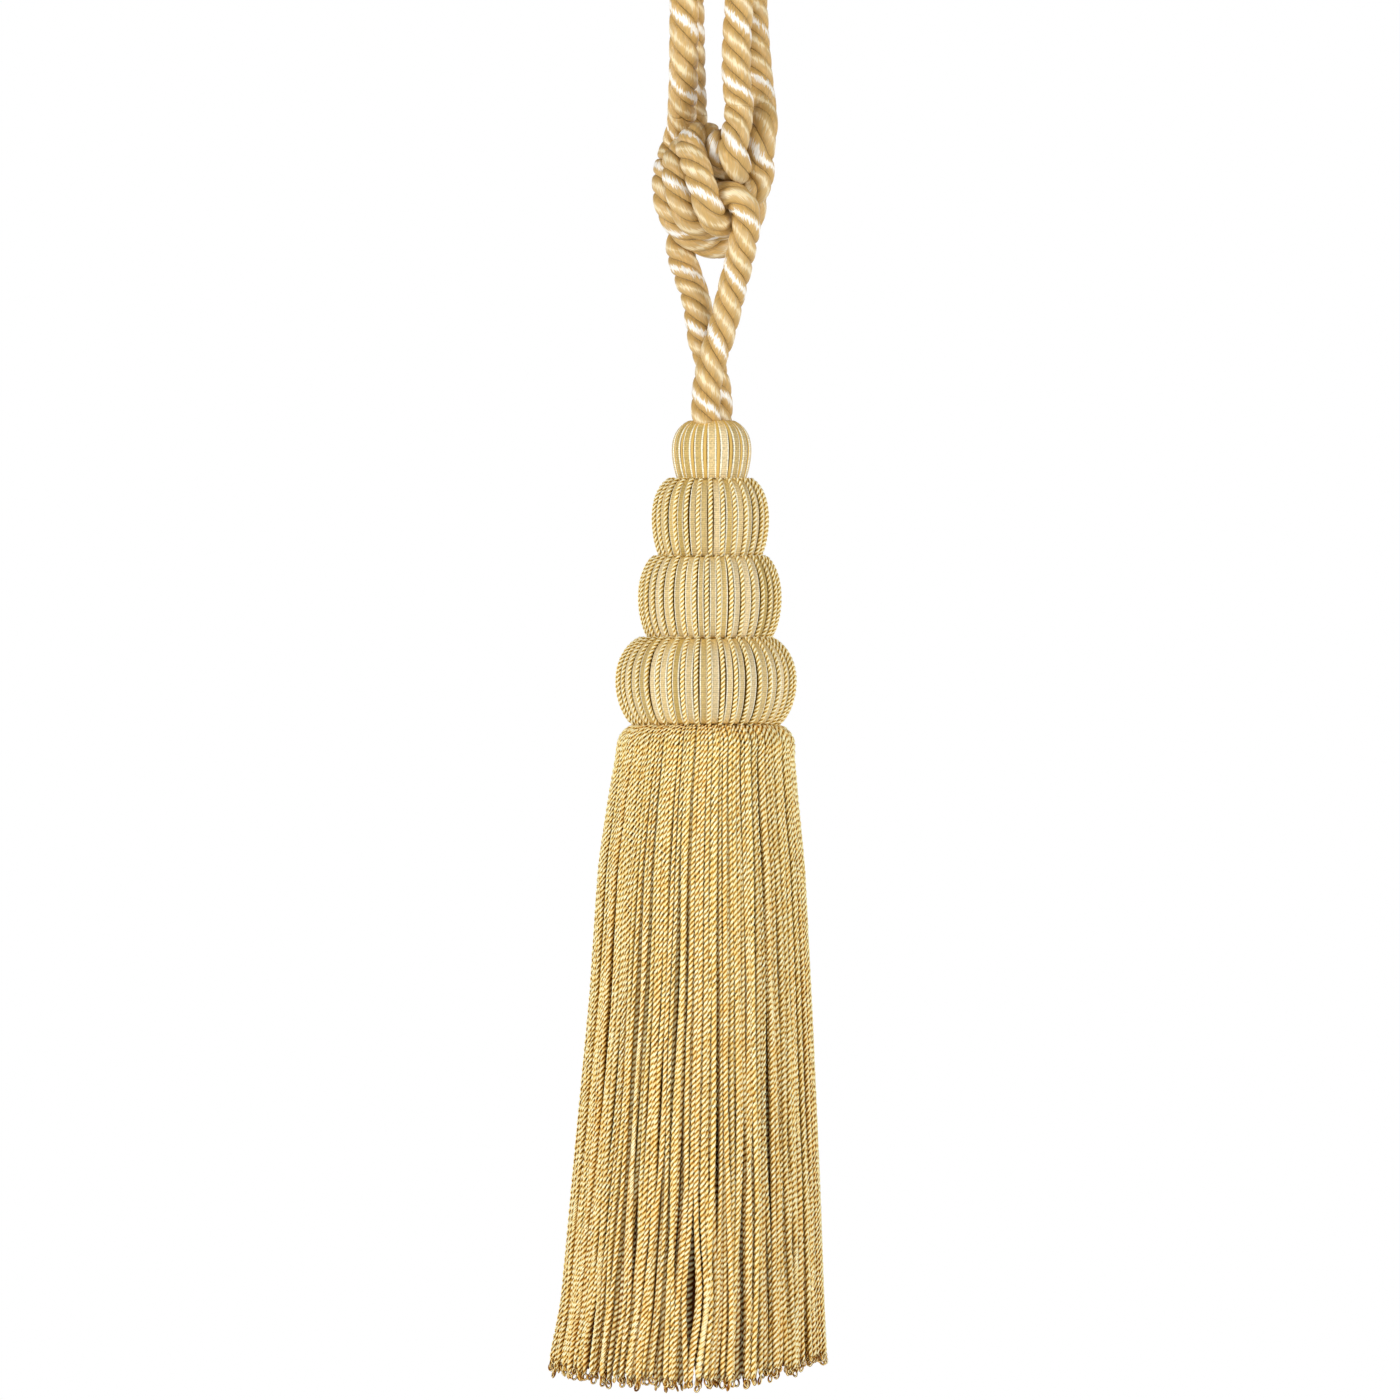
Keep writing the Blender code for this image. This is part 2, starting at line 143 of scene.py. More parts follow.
# Paleness of a ribbon's left and right edge
EDGE_PAIRS = ((1.0, 1.0), (1.0, 0.2), (0.2, 1.0), (0.9, 0.5))
CORD_RADIUS = 0.80
CORD_TURN = 2.9
CORD_LIFT = 0.15
CORD_RINGS_PER_TURN = 6
CORD_LIGHT = (0.88, 1.08)
# Section of a two-ply yarn: angles round it, shares of its radius and lay across its plies
YARN_ANGLES = np.radians([-34.0, 34.0, 90.0, 146.0, 214.0, 270.0])
YARN_SHARES = np.array([0.97, 0.97, 0.55, 0.97, 0.97, 0.55])
YARN_ACROSS = np.append(YARN_ANGLES, YARN_ANGLES[0] + FULL_TURN) / math.pi
SATIN_SHARE = 0.26
SATIN_LIMIT = 0.6
# Sections of the strips: place across, from -1 to 1, and height over the bell
RIBBON_SECTION = np.array([
    (-1.0, -0.3), (-0.9, -0.059635), (-0.68, 0.095165), (-0.58, 0.010392), (-0.3, 0.047165),
    (0.3, 0.047165), (0.58, 0.010392), (0.68, 0.095165), (0.9, -0.059635), (1.0, -0.3)])
SATIN_SECTION = np.array([
    (-1.0, -0.18), (-0.7, -0.027), (0.0, 0.12), (0.7, -0.027), (1.0, -0.18)])

# Skirt: depth below the hook, outer radius and sideways shift of the middle
SKIRT_ROWS = [
    (251.0, 27.0, -1.9), (256.5, 28.6, -1.5), (272.0, 30.6, -2.2),
    (293.4, 33.2, -2.7), (335.0, 35.6, -3.0), (395.5, 39.8, -4.5),
    (432.0, 42.1, -5.6), (450.0, 44.4, -7.0), (462.0, 45.0, -7.4),
]
SKIRT_DEPTHS = np.arange(240.0, 480.0, 1.0)
SKIRT_WINDOW = np.hanning(13)[1:-1]
SHOULDER_CENTRE = 21.0
SHOULDER_Z = -256.3
SHOULDER_ARC = 7.8
SHOULDER_TURNS = np.radians([90.0, 70.0, 50.0, 30.0, 10.0])
ROOT_REACH = 17.0
DROP_START = 3.0
DROP_POINTS = 40
SINK_POWER = 0.6
SINK_SCATTER = 0.4
SWAY_REACH = 20.0
SKIRT_END_Z = -455.8
SIDE_RISE = 3.6
RIGHT_RISE = 2.6
ROOT_LIFT = 0.9
HEADING_SHIFT = -1.3
HEADING_RADIUS = 21.5
HEADING_HEIGHT = 8.0
HEADING_Z = -252.4
STRAND_RADIUS = 0.90
STRAND_SIZES = (0.85, 1.08)
ROOT_SIZE = 0.88
SIZE_GROWTH = 0.18
STRAND_TURN = 3.9
TURN_SHARES = (0.88, 1.10)
STRAND_STEPS = {"lobed": STRAND_TURN / 5.0, "round": 4.0}
STRAND_LIGHT = (0.86, 1.06)
# Tint of a strand: what is added at the shoulder, what is left as painted shade at the crowded
# roots under the last bell, and the powers that warm its layer's painted shade
PALE_SHOULDER = np.array([-0.01, 0.12, 0.46])
ROOT_SHADE = np.array([1.02, 0.86, 0.50])
SHADE_WARMTH = np.array([0.72, 1.04, 1.7])
PALE_START = 1.25
CROWDED_END = 12.0
CROWDED_BLEND = 5.0
PLACE_SCATTER = 0.22
ROUND_SIDES = 5
TIP_LENGTH = 2.2
TIP_SIZE = 0.5
TIP_POWER = 0.6
# Wander in a strand's twist: radians, millimetres to a radian and shift by its first turn
TWIST_WANDER = [(0.6, 8.0, 3.0), (0.3, 2.9, 5.0)]
# Eyes of yarn at the strands' ends: sizes, tilt, the part of a ring and how many layers have them
LOOP_RADIUS = 0.75
LOOP_WIDTHS = (0.7, 1.25)
LOOP_HEIGHTS = (1.0, 1.5)
LOOP_TILT = (-0.35, 0.35)
LOOP_ANGLES = np.radians(np.linspace(15.0, 345.0, 11))
LOOP_YARN = 0.36
LOOP_SECTION = np.radians([0.0, 90.0, 180.0, 270.0])
LOOPED_LAYERS = 3
# Split at the front: place round the skirt, reach in degrees, place down it, width and length
SPLIT_DEGREES = -90.5
SPLIT_REACH = 14.0
SPLIT_SHARE = 0.86
SPLIT_WIDTH = 2.0
SPLIT_LENGTH = 0.09
SPLIT_CALM = 0.3
SKIRT_SEED = 7
# Sways of the strands: ranges of waves in the drop, of size and of outward wander, and the
# spreads of the lean and of the stray that starts late in the drop
SWAY_WAVES = (0.8, 2.6)
SWAY_SIZES = (0.3, 1.4)
SWAY_OUTWARD = (-1.0, 0.4)
OUTWARD_POWER = 0.3
LEAN_SPREAD = 0.9
STRAY_SPREAD = 1.5
STRAY_START = 0.55
STRAY_POWER = 1.4
# Clumps of strands: size, waves round the skirt, start and turning down the drop
CLUMPS = [(0.8, 9.0, 1.3, 1.6), (0.5, 23.0, 0.0, 5.0), (0.3, 41.0, 0.0, -8.0)]
CLUMP_POWER = 2.4
# Layers of the skirt: count, depth at the shoulder and at the foot, whether its two plies
# are lobed or drawn on a round strand, its yarn's share left by painted depth shade and the
# strands' radius
SKIRT_LAYERS = [
    (132, 0.0, 0.0, "lobed", 1.0, 0.90),
    (110, 1.3, 1.2, "round", 0.92, 0.96),
    (96, 2.8, 2.8, "round", 0.58, 1.1),
    (80, 4.2, 5.0, "round", 0.40, 1.3),
    (64, 5.4, 8.5, "round", 0.34, 1.6),
]
BATCH_STRANDS = {"lobed": 33, "round": 110}
END_SCATTER = 3.0

# Studio: brightness of the surroundings by height, the floor with its radius in metres and
# its glow by share of the radius, and soft lights as name, place in metres, width in metres
# and power in watts
SKY_BAND = [(0.10, 1.0), (0.22, 0.16)]
FLOOR_Z = -760.0
FLOOR_RADIUS = 3.4
FLOOR_GLOW = [(0.25, 0.14), (0.85, 0.60)]
LIGHT_TARGET = (0.0, 0.0, -0.24)
LIGHTS = [
    ("left", (-2.1, -1.5, 0.5), 0.8, 36.5),
    ("right", (2.1, -1.5, 0.3), 0.8, 26.5),
    ("front", (0.2, -2.9, -0.1), 0.5, 11.0),
]

# Knot centre, from the hook point
KNOT_X = 0.9
KNOT_Z = -79.2

# The rope's route from the right leg's foot to the left leg's foot, as points: x to the
# right, y away from the viewer and z up, all from the knot's centre
RIGHT_LEG = [
    (-2.2, -4.5, -72.1), (-2.2, -4.7, -65.7), (-1.4, -5.0, -59.0), (0.0, -5.2, -53.0),
    (2.2, -5.4, -46.4), (4.0, -5.8, -39.8), (5.9, -7.0, -31.6), (8.0, -9.0, -23.0),
]
FRONT_BEND = [
    (9.3, -11.5, -15.0), (10.0, -12.4, -9.9), (9.8, -13.0, -6.0), (8.2, -13.0, -3.0),
    (5.8, -11.2, -1.8), (3.6, -7.6, -2.0), (1.2, -3.4, -1.0), (-1.6, 1.4, 2.2),
    (-4.8, 7.4, 4.0), (-7.6, 13.6, 5.6), (-7.8, 17.8, 11.0), (-6.8, 18.6, 18.0),
]
LEFT_LOOP = [
    (-6.4, 18.6, 26.0), (-6.8, 17.6, 36.0), (-7.1, 15.6, 48.0), (-7.3, 13.6, 60.0),
    (-7.6, 13.0, 71.9),
]
LEFT_LOOP_DOWN = [
    (-8.8, -11.0, 71.9), (-9.1, -10.6, 60.0), (-9.2, -8.2, 48.0), (-9.3, -3.4, 37.0),
    (-9.4, 2.8, 27.0),
]
TURNS = [
    (-9.0, 8.4, 19.5), (-9.2, 10.2, 14.0), (-10.4, 8.8, 9.6), (-12.0, 5.8, 5.6),
    (-13.2, 3.4, 2.0), (-13.6, 1.8, -2.0), (-12.8, 1.2, -5.8), (-11.4, 1.2, -8.4),
    (-9.2, 1.8, -10.8), (-6.4, 2.6, -12.7), (-2.1, 3.6, -14.0), (1.7, 4.8, -14.6),
    (5.0, 7.6, -13.0), (5.6, 11.6, -9.2), (3.6, 14.4, -3.4), (0.8, 14.6, 3.0),
    (-2.6, 11.0, 10.0), (-6.2, 6.0, 13.6), (-9.2, 1.2, 13.8), (-11.0, -2.0, 10.4),
    (-11.0, -4.2, 6.4), (-10.2, -5.6, 2.2), (-9.4, -6.4, -2.1), (-8.6, -6.2, -5.3),
    (-7.2, -5.2, -8.4), (-5.0, -4.0, -10.0), (-1.8, -1.4, -10.2), (1.6, 3.4, -9.2),
    (5.2, 8.8, -5.0), (7.0, 11.2, 1.0), (6.4, 11.2, 7.0), (3.4, 8.8, 12.4),
    (-0.2, 3.8, 15.6), (-3.6, -3.2, 15.8), (-5.2, -8.8, 12.8), (-4.8, -11.8, 9.4),
    (-4.0, -13.2, 6.4), (-2.8, -13.9, 2.8), (-1.2, -14.0, -0.8), (0.2, -13.4, -4.2),
    (1.9, -10.6, -7.0), (4.6, -5.4, -8.0), (8.4, -1.6, -7.2), (10.6, 2.6, -3.0),
    (11.2, 5.0, 3.4), (9.6, 4.4, 9.8), (6.0, 1.6, 14.6), (1.8, -2.6, 16.2),
    (-0.6, -5.6, 13.6), (-0.6, -5.8, 10.0), (1.2, -5.2, 6.4), (4.6, -5.0, 4.4),
    (7.2, -7.8, 3.8), (7.8, -11.4, 5.0), (6.6, -14.0, 8.4), (6.0, -14.4, 12.2),
    (6.6, -13.4, 16.2), (7.6, -11.8, 21.0),
]
RIGHT_LOOP = [
    (8.2, -11.0, 26.0), (7.4, -12.0, 36.0), (7.6, -12.2, 48.0), (8.4, -11.6, 60.0),
    (9.0, -11.0, 71.9),
]
RIGHT_LOOP_DOWN = [
    (12.2, 13.0, 71.9), (12.9, 11.8, 60.0), (13.6, 8.8, 48.0), (14.6, 4.8, 36.0),
    (15.6, 0.4, 26.0),
]
BACK_BEND = [
    (15.6, -4.4, 20.0), (14.4, -5.6, 14.8), (13.4, -5.0, 10.4), (13.4, -4.6, 6.0),
    (13.4, -4.4, 2.6), (12.4, -4.0, -0.8), (9.6, -3.0, -3.0), (5.8, -0.6, -3.8),
    (1.6, 4.0, -3.6), (-3.0, 8.4, -5.8), (-7.4, 11.2, -10.0),
]
LEFT_LEG = [
    (-9.8, 11.2, -16.6), (-9.2, 9.6, -21.0), (-7.2, 7.4, -27.6), (-5.2, 5.6, -34.0),
    (-4.2, 4.8, -41.0), (-3.0, 4.6, -48.0), (-0.8, 4.6, -54.0), (0.8, 4.7, -60.0),
    (1.7, 4.7, -66.0), (1.6, 4.7, -72.1),
]


def half_circle(start, end):
    """Points between two runs, bulging up, on a half circle."""
    start, end = Vector(start), Vector(end)
    centre = (start + end) / 2.0
    reach = (end - start) / 2.0
    rise = Vector((0.0, 0.0, reach.length))
    points = []
    for i in range(1, LOOP_TOP_POINTS + 1):
        angle = math.pi * i / (LOOP_TOP_POINTS + 1)
        points.append(tuple(centre - reach * math.cos(angle) + rise * math.sin(angle)))
    return points


def between(t, start, end, first, second):
    """The point between two others that t, between start and end, stands for."""
    return (end - t) / (end - start) * first + (t - start) / (end - start) * second


def smooth_curve(points, per_span=12):
    """A centripetal Catmull-Rom curve through the points."""
    p = np.array(points, float)
    p = np.vstack([2 * p[0] - p[1], p, 2 * p[-1] - p[-2]])
    curve = []
    for i in range(1, len(p) - 2):
        knots = [0.0]
        for a, b in zip(p[i - 1:i + 2], p[i:i + 3]):
            knots.append(knots[-1] + math.sqrt(np.linalg.norm(b - a)))
        t0, t1, t2, t3 = knots
        for t in np.linspace(t1, t2, per_span, endpoint=False):
            a1 = between(t, t0, t1, p[i - 1], p[i])
            a2 = between(t, t1, t2, p[i], p[i + 1])
            a3 = between(t, t2, t3, p[i + 1], p[i + 2])
            b1 = between(t, t0, t2, a1, a2)
            b2 = between(t, t1, t3, a2, a3)
            curve.append(between(t, t1, t2, b1, b2))
    curve.append(p[-2])
    return np.array(curve)


def run_lengths(points):
    """Distance along the line at each of its points."""
    return np.append(0.0, np.cumsum(np.linalg.norm(np.diff(points, axis=0), axis=1)))


def at_places(places, along, points):
    """Points of a line at the given distances along it."""
    return np.column_stack([np.interp(places, along, points[:, k]) for k in range(3)])


def resample(points, step):
    """Points one step apart along the curve, ends kept."""
    along = run_lengths(points)
    count = int(round(along[-1] / step)) + 1
    return at_places(np.linspace(0.0, along[-1], count), along, points)


def nearest(points, target):
    return int(np.argmin(np.linalg.norm(points - target, axis=1)))


def smoothed(values, window):
    """The values averaged over a window, with the end values held."""
    padded = np.pad(values, len(window) // 2, mode="edge")
    return np.convolve(padded, window / window.sum(), mode="valid")


def radii_along(points, first, last):
    """Rope radius at each point: squeezed in the knot's span, full outside it."""
    along = run_lengths(points)
    into = np.clip((along - along[first]) / SQUEEZE_BLEND, 0.0, 1.0)
    out = np.clip((along[last] - along) / SQUEEZE_BLEND, 0.0, 1.0)
    return ROPE_RADIUS - (ROPE_RADIUS - SQUEEZED_RADIUS) * np.minimum(into, out)


def bends_of(points):
    """From each point to the middle of its two neighbours, and nothing at the ends."""
    bend = np.zeros_like(points)
    bend[1:-1] = (points[:-2] + points[2:]) / 2.0 - points[1:-1]
    return bend


def settle(points, radii):
    """Presses the rope's turns apart until they lie side by side and don't cross."""
    home_bend = bends_of(points)
    placed = points.copy()
    index = np.arange(len(points))
    apart = np.abs(index[:, None] - index) > NEAR_POINTS
    wanted = radii[:, None] + radii + SETTLE_GAP
    sharpest = (ROPE_PITCH / STEPS_PER_TURN) ** 2 / (2.0 * TIGHTEST_BEND)
    for round_number in range(SETTLE_ROUNDS):
        weak = round_number > SETTLE_ROUNDS - WEAK_ROUNDS
        difference = placed[:, None] - placed
        distance = np.linalg.norm(difference, axis=2) + TINY
        overlap = np.where(apart, np.maximum(wanted - distance, 0.0), 0.0)
        push = (difference / distance[:, :, None] * overlap[:, :, None]).sum(axis=1)
        touching = np.maximum((overlap > 0.0).sum(axis=1), 1)[:, None]
        move = PUSH_SHARE * push / np.sqrt(touching)
        bend = bends_of(placed)
        move += SMOOTH_SHARE * (bend - home_bend)
        size = np.linalg.norm(bend, axis=1)[:, None] + TINY
        ease = EASE_SHARE * bend * np.maximum(1.0 - sharpest / size, 0.0)
        move += ease
        move[:-1] -= ease[1:] / 2.0
        move[1:] -= ease[:-1] / 2.0
        move += HOME_PULL * (points - placed) * (WEAK_SHARE if weak else 1.0)
        move[:2] = 0.0
        move[-2:] = 0.0
        placed = placed + move
    return placed


def bend_radii(points):
    """Radius of the bend at each point of an evenly spaced line."""
    radii = np.full(len(points), np.inf)
    offset = bends_of(points)[1:-1]
    step = np.linalg.norm(points[2:] - points[:-2], axis=1) / 2.0
    radii[1:-1] = step ** 2 / (2.0 * np.linalg.norm(offset, axis=1) + TINY)
    return radii


def rope_route():
    """The whole rope's centreline and where it is cut into its named stretches."""
    left_top = half_circle(LEFT_LOOP[-1], LEFT_LOOP_DOWN[0])
    right_top = half_circle(RIGHT_LOOP[-1], RIGHT_LOOP_DOWN[0])
    rows = (
        RIGHT_LEG + FRONT_BEND + LEFT_LOOP + left_top + LEFT_LOOP_DOWN + TURNS
        + RIGHT_LOOP + right_top + RIGHT_LOOP_DOWN + BACK_BEND + LEFT_LEG)
    points = resample(smooth_curve(rows), ROPE_PITCH / STEPS_PER_TURN)
    cuts = [nearest(points, row) for row in (
        LEFT_LOOP[0], LEFT_LOOP_DOWN[-1], RIGHT_LOOP[0], RIGHT_LOOP_DOWN[-1])]
    radii = np.full(len(points), ROPE_RADIUS)
    squeezed = [
        (nearest(points, FRONT_BEND[0]), cuts[0]),
        (nearest(points, TURNS[1]), nearest(points, TURNS[-2])),
        (nearest(points, BACK_BEND[1]), nearest(points, LEFT_LEG[0])),
    ]
    for first, last in squeezed:
        radii = np.minimum(radii, radii_along(points, first, last))
    points = settle(points, radii)
    points[[0, -1], 2] -= ROPE_SINK
    return points + (KNOT_X, 0.0, KNOT_Z), cuts


def fine_rope(points):
    """The centreline drawn finely, with the radius the soft rope takes at each point."""
    fine = smooth_curve(points, FINE_STEPS)
    limit = np.minimum(BEND_SHARE * bend_radii(points), ROPE_RADIUS)
    limit = np.minimum(limit, np.roll(limit, 1))
    limit = np.minimum(limit, np.roll(limit, -1))
    limit = smoothed(limit, BEND_WINDOW)
    radii = np.interp(np.arange(len(fine)) / FINE_STEPS, np.arange(len(points)), limit)
    return fine, radii


def headings(line):
    """The unit direction of a line at each of its points."""
    ahead = np.gradient(line, axis=0)
    return ahead / np.linalg.norm(ahead, axis=1)[:, None]


def turning_frames(points):
    """Two crosswise directions at each point, carried along with the least turning."""
    ahead = headings(points)
    across = np.cross(ahead[0], (0.0, 1.0, 0.0))
    across /= np.linalg.norm(across)
    firsts, seconds = [], []
    for direction in ahead:
        across = across - direction * np.dot(across, direction)
        across /= np.linalg.norm(across)
        firsts.append(across)
        seconds.append(np.cross(direction, across))
    return np.array(firsts), np.array(seconds)


def rings_round(line, reach, angles, first, second):
    """Rings of points round a line, at a reach and at angles from first towards second."""
    return (
        line[:, None]
        + (reach * np.cos(angles))[..., None] * first[:, None]
        + (reach * np.sin(angles))[..., None] * second[:, None])


def lobe_section():
    """Angles, shares of the radius and whiteness round the rope's flattened oval plies."""
    off = np.radians(LOBE_DEGREES)
    c, s = np.cos(off), np.sin(off)
    a = (c / PLY_OUT) ** 2 + (s / PLY_ACROSS) ** 2
    b = -2.0 * PLY_OFFSET * c / PLY_OUT ** 2
    d = (PLY_OFFSET / PLY_OUT) ** 2 - 1.0
    reach = (-b + np.sqrt(b * b - 4.0 * a * d)) / (2.0 * a)
    angles = FULL_TURN * np.arange(PLIES)[:, None] / PLIES + off
    whiteness = np.zeros(angles.shape)
    whiteness[CREAM_PLY_NUMBER] = np.abs(LOBE_DEGREES) < CREAM_DEGREES
    shares = np.tile(reach / (PLY_OFFSET + PLY_OUT), PLIES)
    return angles.ravel(), shares, whiteness.ravel()


def corners_of(grid, left, right):
    """The values at the four corners of each cell of a grid."""
    upper, lower = grid[:-1], grid[1:]
    return np.stack([upper[:, left], upper[:, right], lower[:, right], lower[:, left]], axis=-1)


class Bundle:
    """Collects tubes and strips, then makes them one mesh piece."""

    def __init__(self):
        self.points, self.quads, self.lay, self.tints, self.caps = [], [], [], [], []
        self.count = 0

    def add(self, rings, across, along, tints, closed=True):
        """Joins rings of points (rows, around, xyz) into a capped tube, or a strip if open.

        The lay across it is one row of values for all the rings, or a row for each ring.
        """
        rows, around = rings.shape[:2]
        index = self.count + np.arange(rows * around).reshape(rows, around)
        k = np.arange(around if closed else around - 1)
        self.points.append(rings.reshape(-1, 3))
        self.quads.append(corners_of(index, k, (k + 1) % around).reshape(-1, 4))
        u = np.broadcast_to(across, (rows, np.shape(across)[-1]))
        v = np.broadcast_to(along[:, None], u.shape)
        lay = np.stack([corners_of(u, k, k + 1), corners_of(v, k, k + 1)], axis=-1)
        self.lay.append(lay.reshape(-1, 2))
        self.tints.append(np.broadcast_to(tints, (rows, around, 3)).reshape(-1, 3))
        if closed:
            self.caps += [index[0][::-1].tolist(), index[-1].tolist()]
        self.count += rows * around

    def piece(self, name, material):
        """The mesh piece, with its lay as UV and its tint as a colour."""
        points = np.concatenate(self.points) * MM
        quads = np.concatenate(self.quads).tolist()
        mesh = bpy.data.meshes.new(name)
        mesh.from_pydata(points, [], quads + self.caps)
        uv = np.zeros((len(mesh.loops), 2), np.float32)
        uv[:4 * len(quads)] = np.concatenate(self.lay)
        mesh.uv_layers.new(name="lay").data.foreach_set("uv", uv.ravel())
        colours = mesh.color_attributes.new(name="tint", type="FLOAT_COLOR", domain="POINT")
        full = np.ones((len(points), 4), np.float32)
        full[:, :3] = np.concatenate(self.tints)
        colours.data.foreach_set("color", full.ravel())
        mesh.shade_smooth()
        mesh.materials.append(material)
        mesh.validate()
        made = bpy.data.objects.new(name, mesh)
        bpy.context.scene.collection.objects.link(made)
        return made


def node_tree(name):
    """A new material with its tree and its shader."""
    material = bpy.data.materials.new(name)
    material.use_nodes = True
    tree = material.node_tree
    return material, tree, tree.nodes["Principled BSDF"]


def feed(tree, socket, value):
    """Links a socket to another socket, or sets it to a plain value."""
    if isinstance(value, bpy.types.NodeSocket):
        tree.links.new(value, socket)
    else:
        socket.default_value = value


def add_node(tree, kind, **inputs):
    """A node with its named inputs fed."""
    node = tree.nodes.new(kind)
    for name, value in inputs.items():
        feed(tree, node.inputs[name.replace("_", " ")], value)
    return node


def maths(tree, operation, first, second=0.0):
    """The output of a maths node."""
    node = tree.nodes.new("ShaderNodeMath")
    node.operation = operation
    feed(tree, node.inputs[0], first)
    feed(tree, node.inputs[1], second)
    return node.outputs[0]


def times(tree, first, second):
    return maths(tree, "MULTIPLY", first, second)


def mixed(tree, blend, share, first, second):
    """A colour mix; share, first and second are sockets or values."""
    node = tree.nodes.new("ShaderNodeMix")
    node.data_type = "RGBA"
    node.blend_type = blend
    feed(tree, node.inputs[0], share)
    feed(tree, node.inputs[6], first)
    feed(tree, node.inputs[7], second)
    return node.outputs[2]


def add_ramp(tree, value, stops):
    """A colour ramp from (place, colour) stops."""
    node = tree.nodes.new("ShaderNodeValToRGB")
    elements = node.color_ramp.elements
    for element, (place, colour) in zip(elements, (stops[0], stops[-1])):
        element.position = place
        element.color = (*colour, 1.0)
    for place, colour in stops[1:-1]:
        elements.new(place).color = (*colour, 1.0)
    tree.links.new(value, node.inputs[0])
    return node.outputs[0]


def ramp(tree, value, stops):
    """A ramp from (place, grey) stops."""
    return add_ramp(tree, value, [(place, (grey, grey, grey)) for place, grey in stops])


def multiplied(tree, colour, shade):
    return mixed(tree, "MULTIPLY", 1.0, colour, shade)


def lay_of(tree):
    """The lay across a piece, in plies for a yarn, and millimetres along it."""
    lay = tree.nodes.new("ShaderNodeUVMap")
    lay.uv_map = "lay"
    return add_node(tree, "ShaderNodeSeparateXYZ", Vector=lay.outputs[0]).outputs[:2]


def ply_of(tree, plies):
    """The share of a ply passed, and the place in it: 0 in its middle, 1 at a groove."""
    passed = maths(tree, "FRACT", maths(tree, "ADD", plies, PLY_START))
    off = maths(tree, "ABSOLUTE", maths(tree, "SUBTRACT", passed, 0.5))
    return passed, times(tree, off, 2.0)


def lay_noise(tree, across, along, scales, detail, roughness=0.5):
    """Noise over the lay, in turns a millimetre across and along."""
    vector = add_node(
        tree, "ShaderNodeCombineXYZ", X=times(tree, across, scales[0]),
        Y=times(tree, along, scales[1]))
    return add_node(
        tree, "ShaderNodeTexNoise", Vector=vector.outputs[0], Scale=1.0, Detail=detail,
        Roughness=roughness).outputs[0]


def streaks(tree, across, along, slant, scales, detail=3.0):
    """Streaky noise whose streaks run along the fibres, which slant across the yarn."""
    shifted = maths(tree, "ADD", across, times(tree, along, slant))
    return lay_noise(tree, shifted, along, scales, detail, STREAK_ROUGHNESS)


def space_noise(tree, scales, detail):
    """Noise in space, in turns a metre."""
    spot = tree.nodes.new("ShaderNodeTexCoord")
    stretched = add_node(tree, "ShaderNodeVectorMath", Vector=spot.outputs["Object"])
    stretched.operation = "MULTIPLY"
    stretched.inputs[1].default_value = scales
    return add_node(
        tree, "ShaderNodeTexNoise", Vector=stretched.outputs[0], Scale=1.0,
        Detail=detail).outputs[0]


def about_zero(tree, noise, spread):
    """Noise centred on zero and spread out."""
    return times(tree, maths(tree, "SUBTRACT", noise, 0.5), spread)


def set_shader(tree, shader, colour, roughness, specular):
    tree.links.new(colour, shader.inputs["Base Color"])
    shader.inputs["Roughness"].default_value = roughness
    shader.inputs["Specular IOR Level"].default_value = specular


def bumped(tree, shader, height, strength, depth_mm):
    bump = add_node(
        tree, "ShaderNodeBump", Height=height, Strength=strength, Distance=depth_mm * MM)
    tree.links.new(bump.outputs[0], shader.inputs["Normal"])


def tint_of(tree):
    tint = tree.nodes.new("ShaderNodeVertexColor")
    tint.layer_name = "tint"
    return tint.outputs[0]


def facing_of(tree, plies, along, passed, turn_length):
    """How squarely the round plies of a two-ply yarn face outward, 1 in front and -1 behind."""
    turned = times(tree, along, FULL_TURN / turn_length)
    round_yarn = times(tree, plies, math.pi)
    round_ply = about_zero(tree, passed, math.pi)
    whole = maths(tree, "ADD", maths(tree, "ADD", round_yarn, turned), round_ply)
    return maths(tree, "COSINE", whole)


def cord_material(name, radius, turn_length, glow, sides, grooves, tones):
    """Two-ply yarn: its tint, painted highlight where a ply faces outward, painted shade where it
    turns in.
    """
    material, tree, shader = node_tree(name)
    plies, along = lay_of(tree)
    passed, place = ply_of(tree, plies)
    across = times(tree, plies, math.pi * radius)
    fibres = streaks(tree, across, along, CORD_SLANT, CORD_STREAKS)
    seen = maths(
        tree, "ADD", facing_of(tree, plies, along, passed, turn_length),
        about_zero(tree, fibres, CORD_FRAY))
    half = maths(tree, "ADD", times(tree, seen, 0.5), 0.5)
    # Painted highlight where a ply faces outward near its crest
    painted_highlight = times(tree, ramp(tree, half, CORD_FRONT), ramp(tree, place, CORD_CREST))
    colour = mixed(tree, "MIX", painted_highlight, tint_of(tree), (*glow, 1.0))
    patches = space_noise(tree, TONE_SCALE, detail=1.0)
    # Painted shade where plies face away and in the grooves, then patches of tone
    for value, stops in ((half, sides), (place, grooves), (patches, tones)):
        colour = multiplied(tree, colour, add_ramp(tree, value, stops))
    set_shader(tree, shader, colour, roughness=0.42, specular=0.10)
    bumped(tree, shader, fibres, strength=0.6, depth_mm=0.05)
    return material


def ribbon_material(name, roughness, ribs, speckle):
    """Woven ribbon: its tint with fine cross ribs and a speckled weave."""
    material, tree, shader = node_tree(name)
    across, along = lay_of(tree)
    noise = lay_noise(tree, across, along, WEAVE_SCALES, detail=2.0)
    rib = maths(tree, "SINE", times(tree, along, FULL_TURN / RIB_PITCH))
    weave = maths(tree, "ADD", noise, times(tree, rib, ribs))
    shade = ramp(tree, weave, [(0.25, 1.0 - speckle), (0.75, 1.0 + PALE_SPECKLE * speckle)])
    colour = multiplied(tree, tint_of(tree), shade)
    set_shader(tree, shader, colour, roughness, specular=0.15)
    bumped(tree, shader, weave, strength=0.5, depth_mm=0.05)
    return material


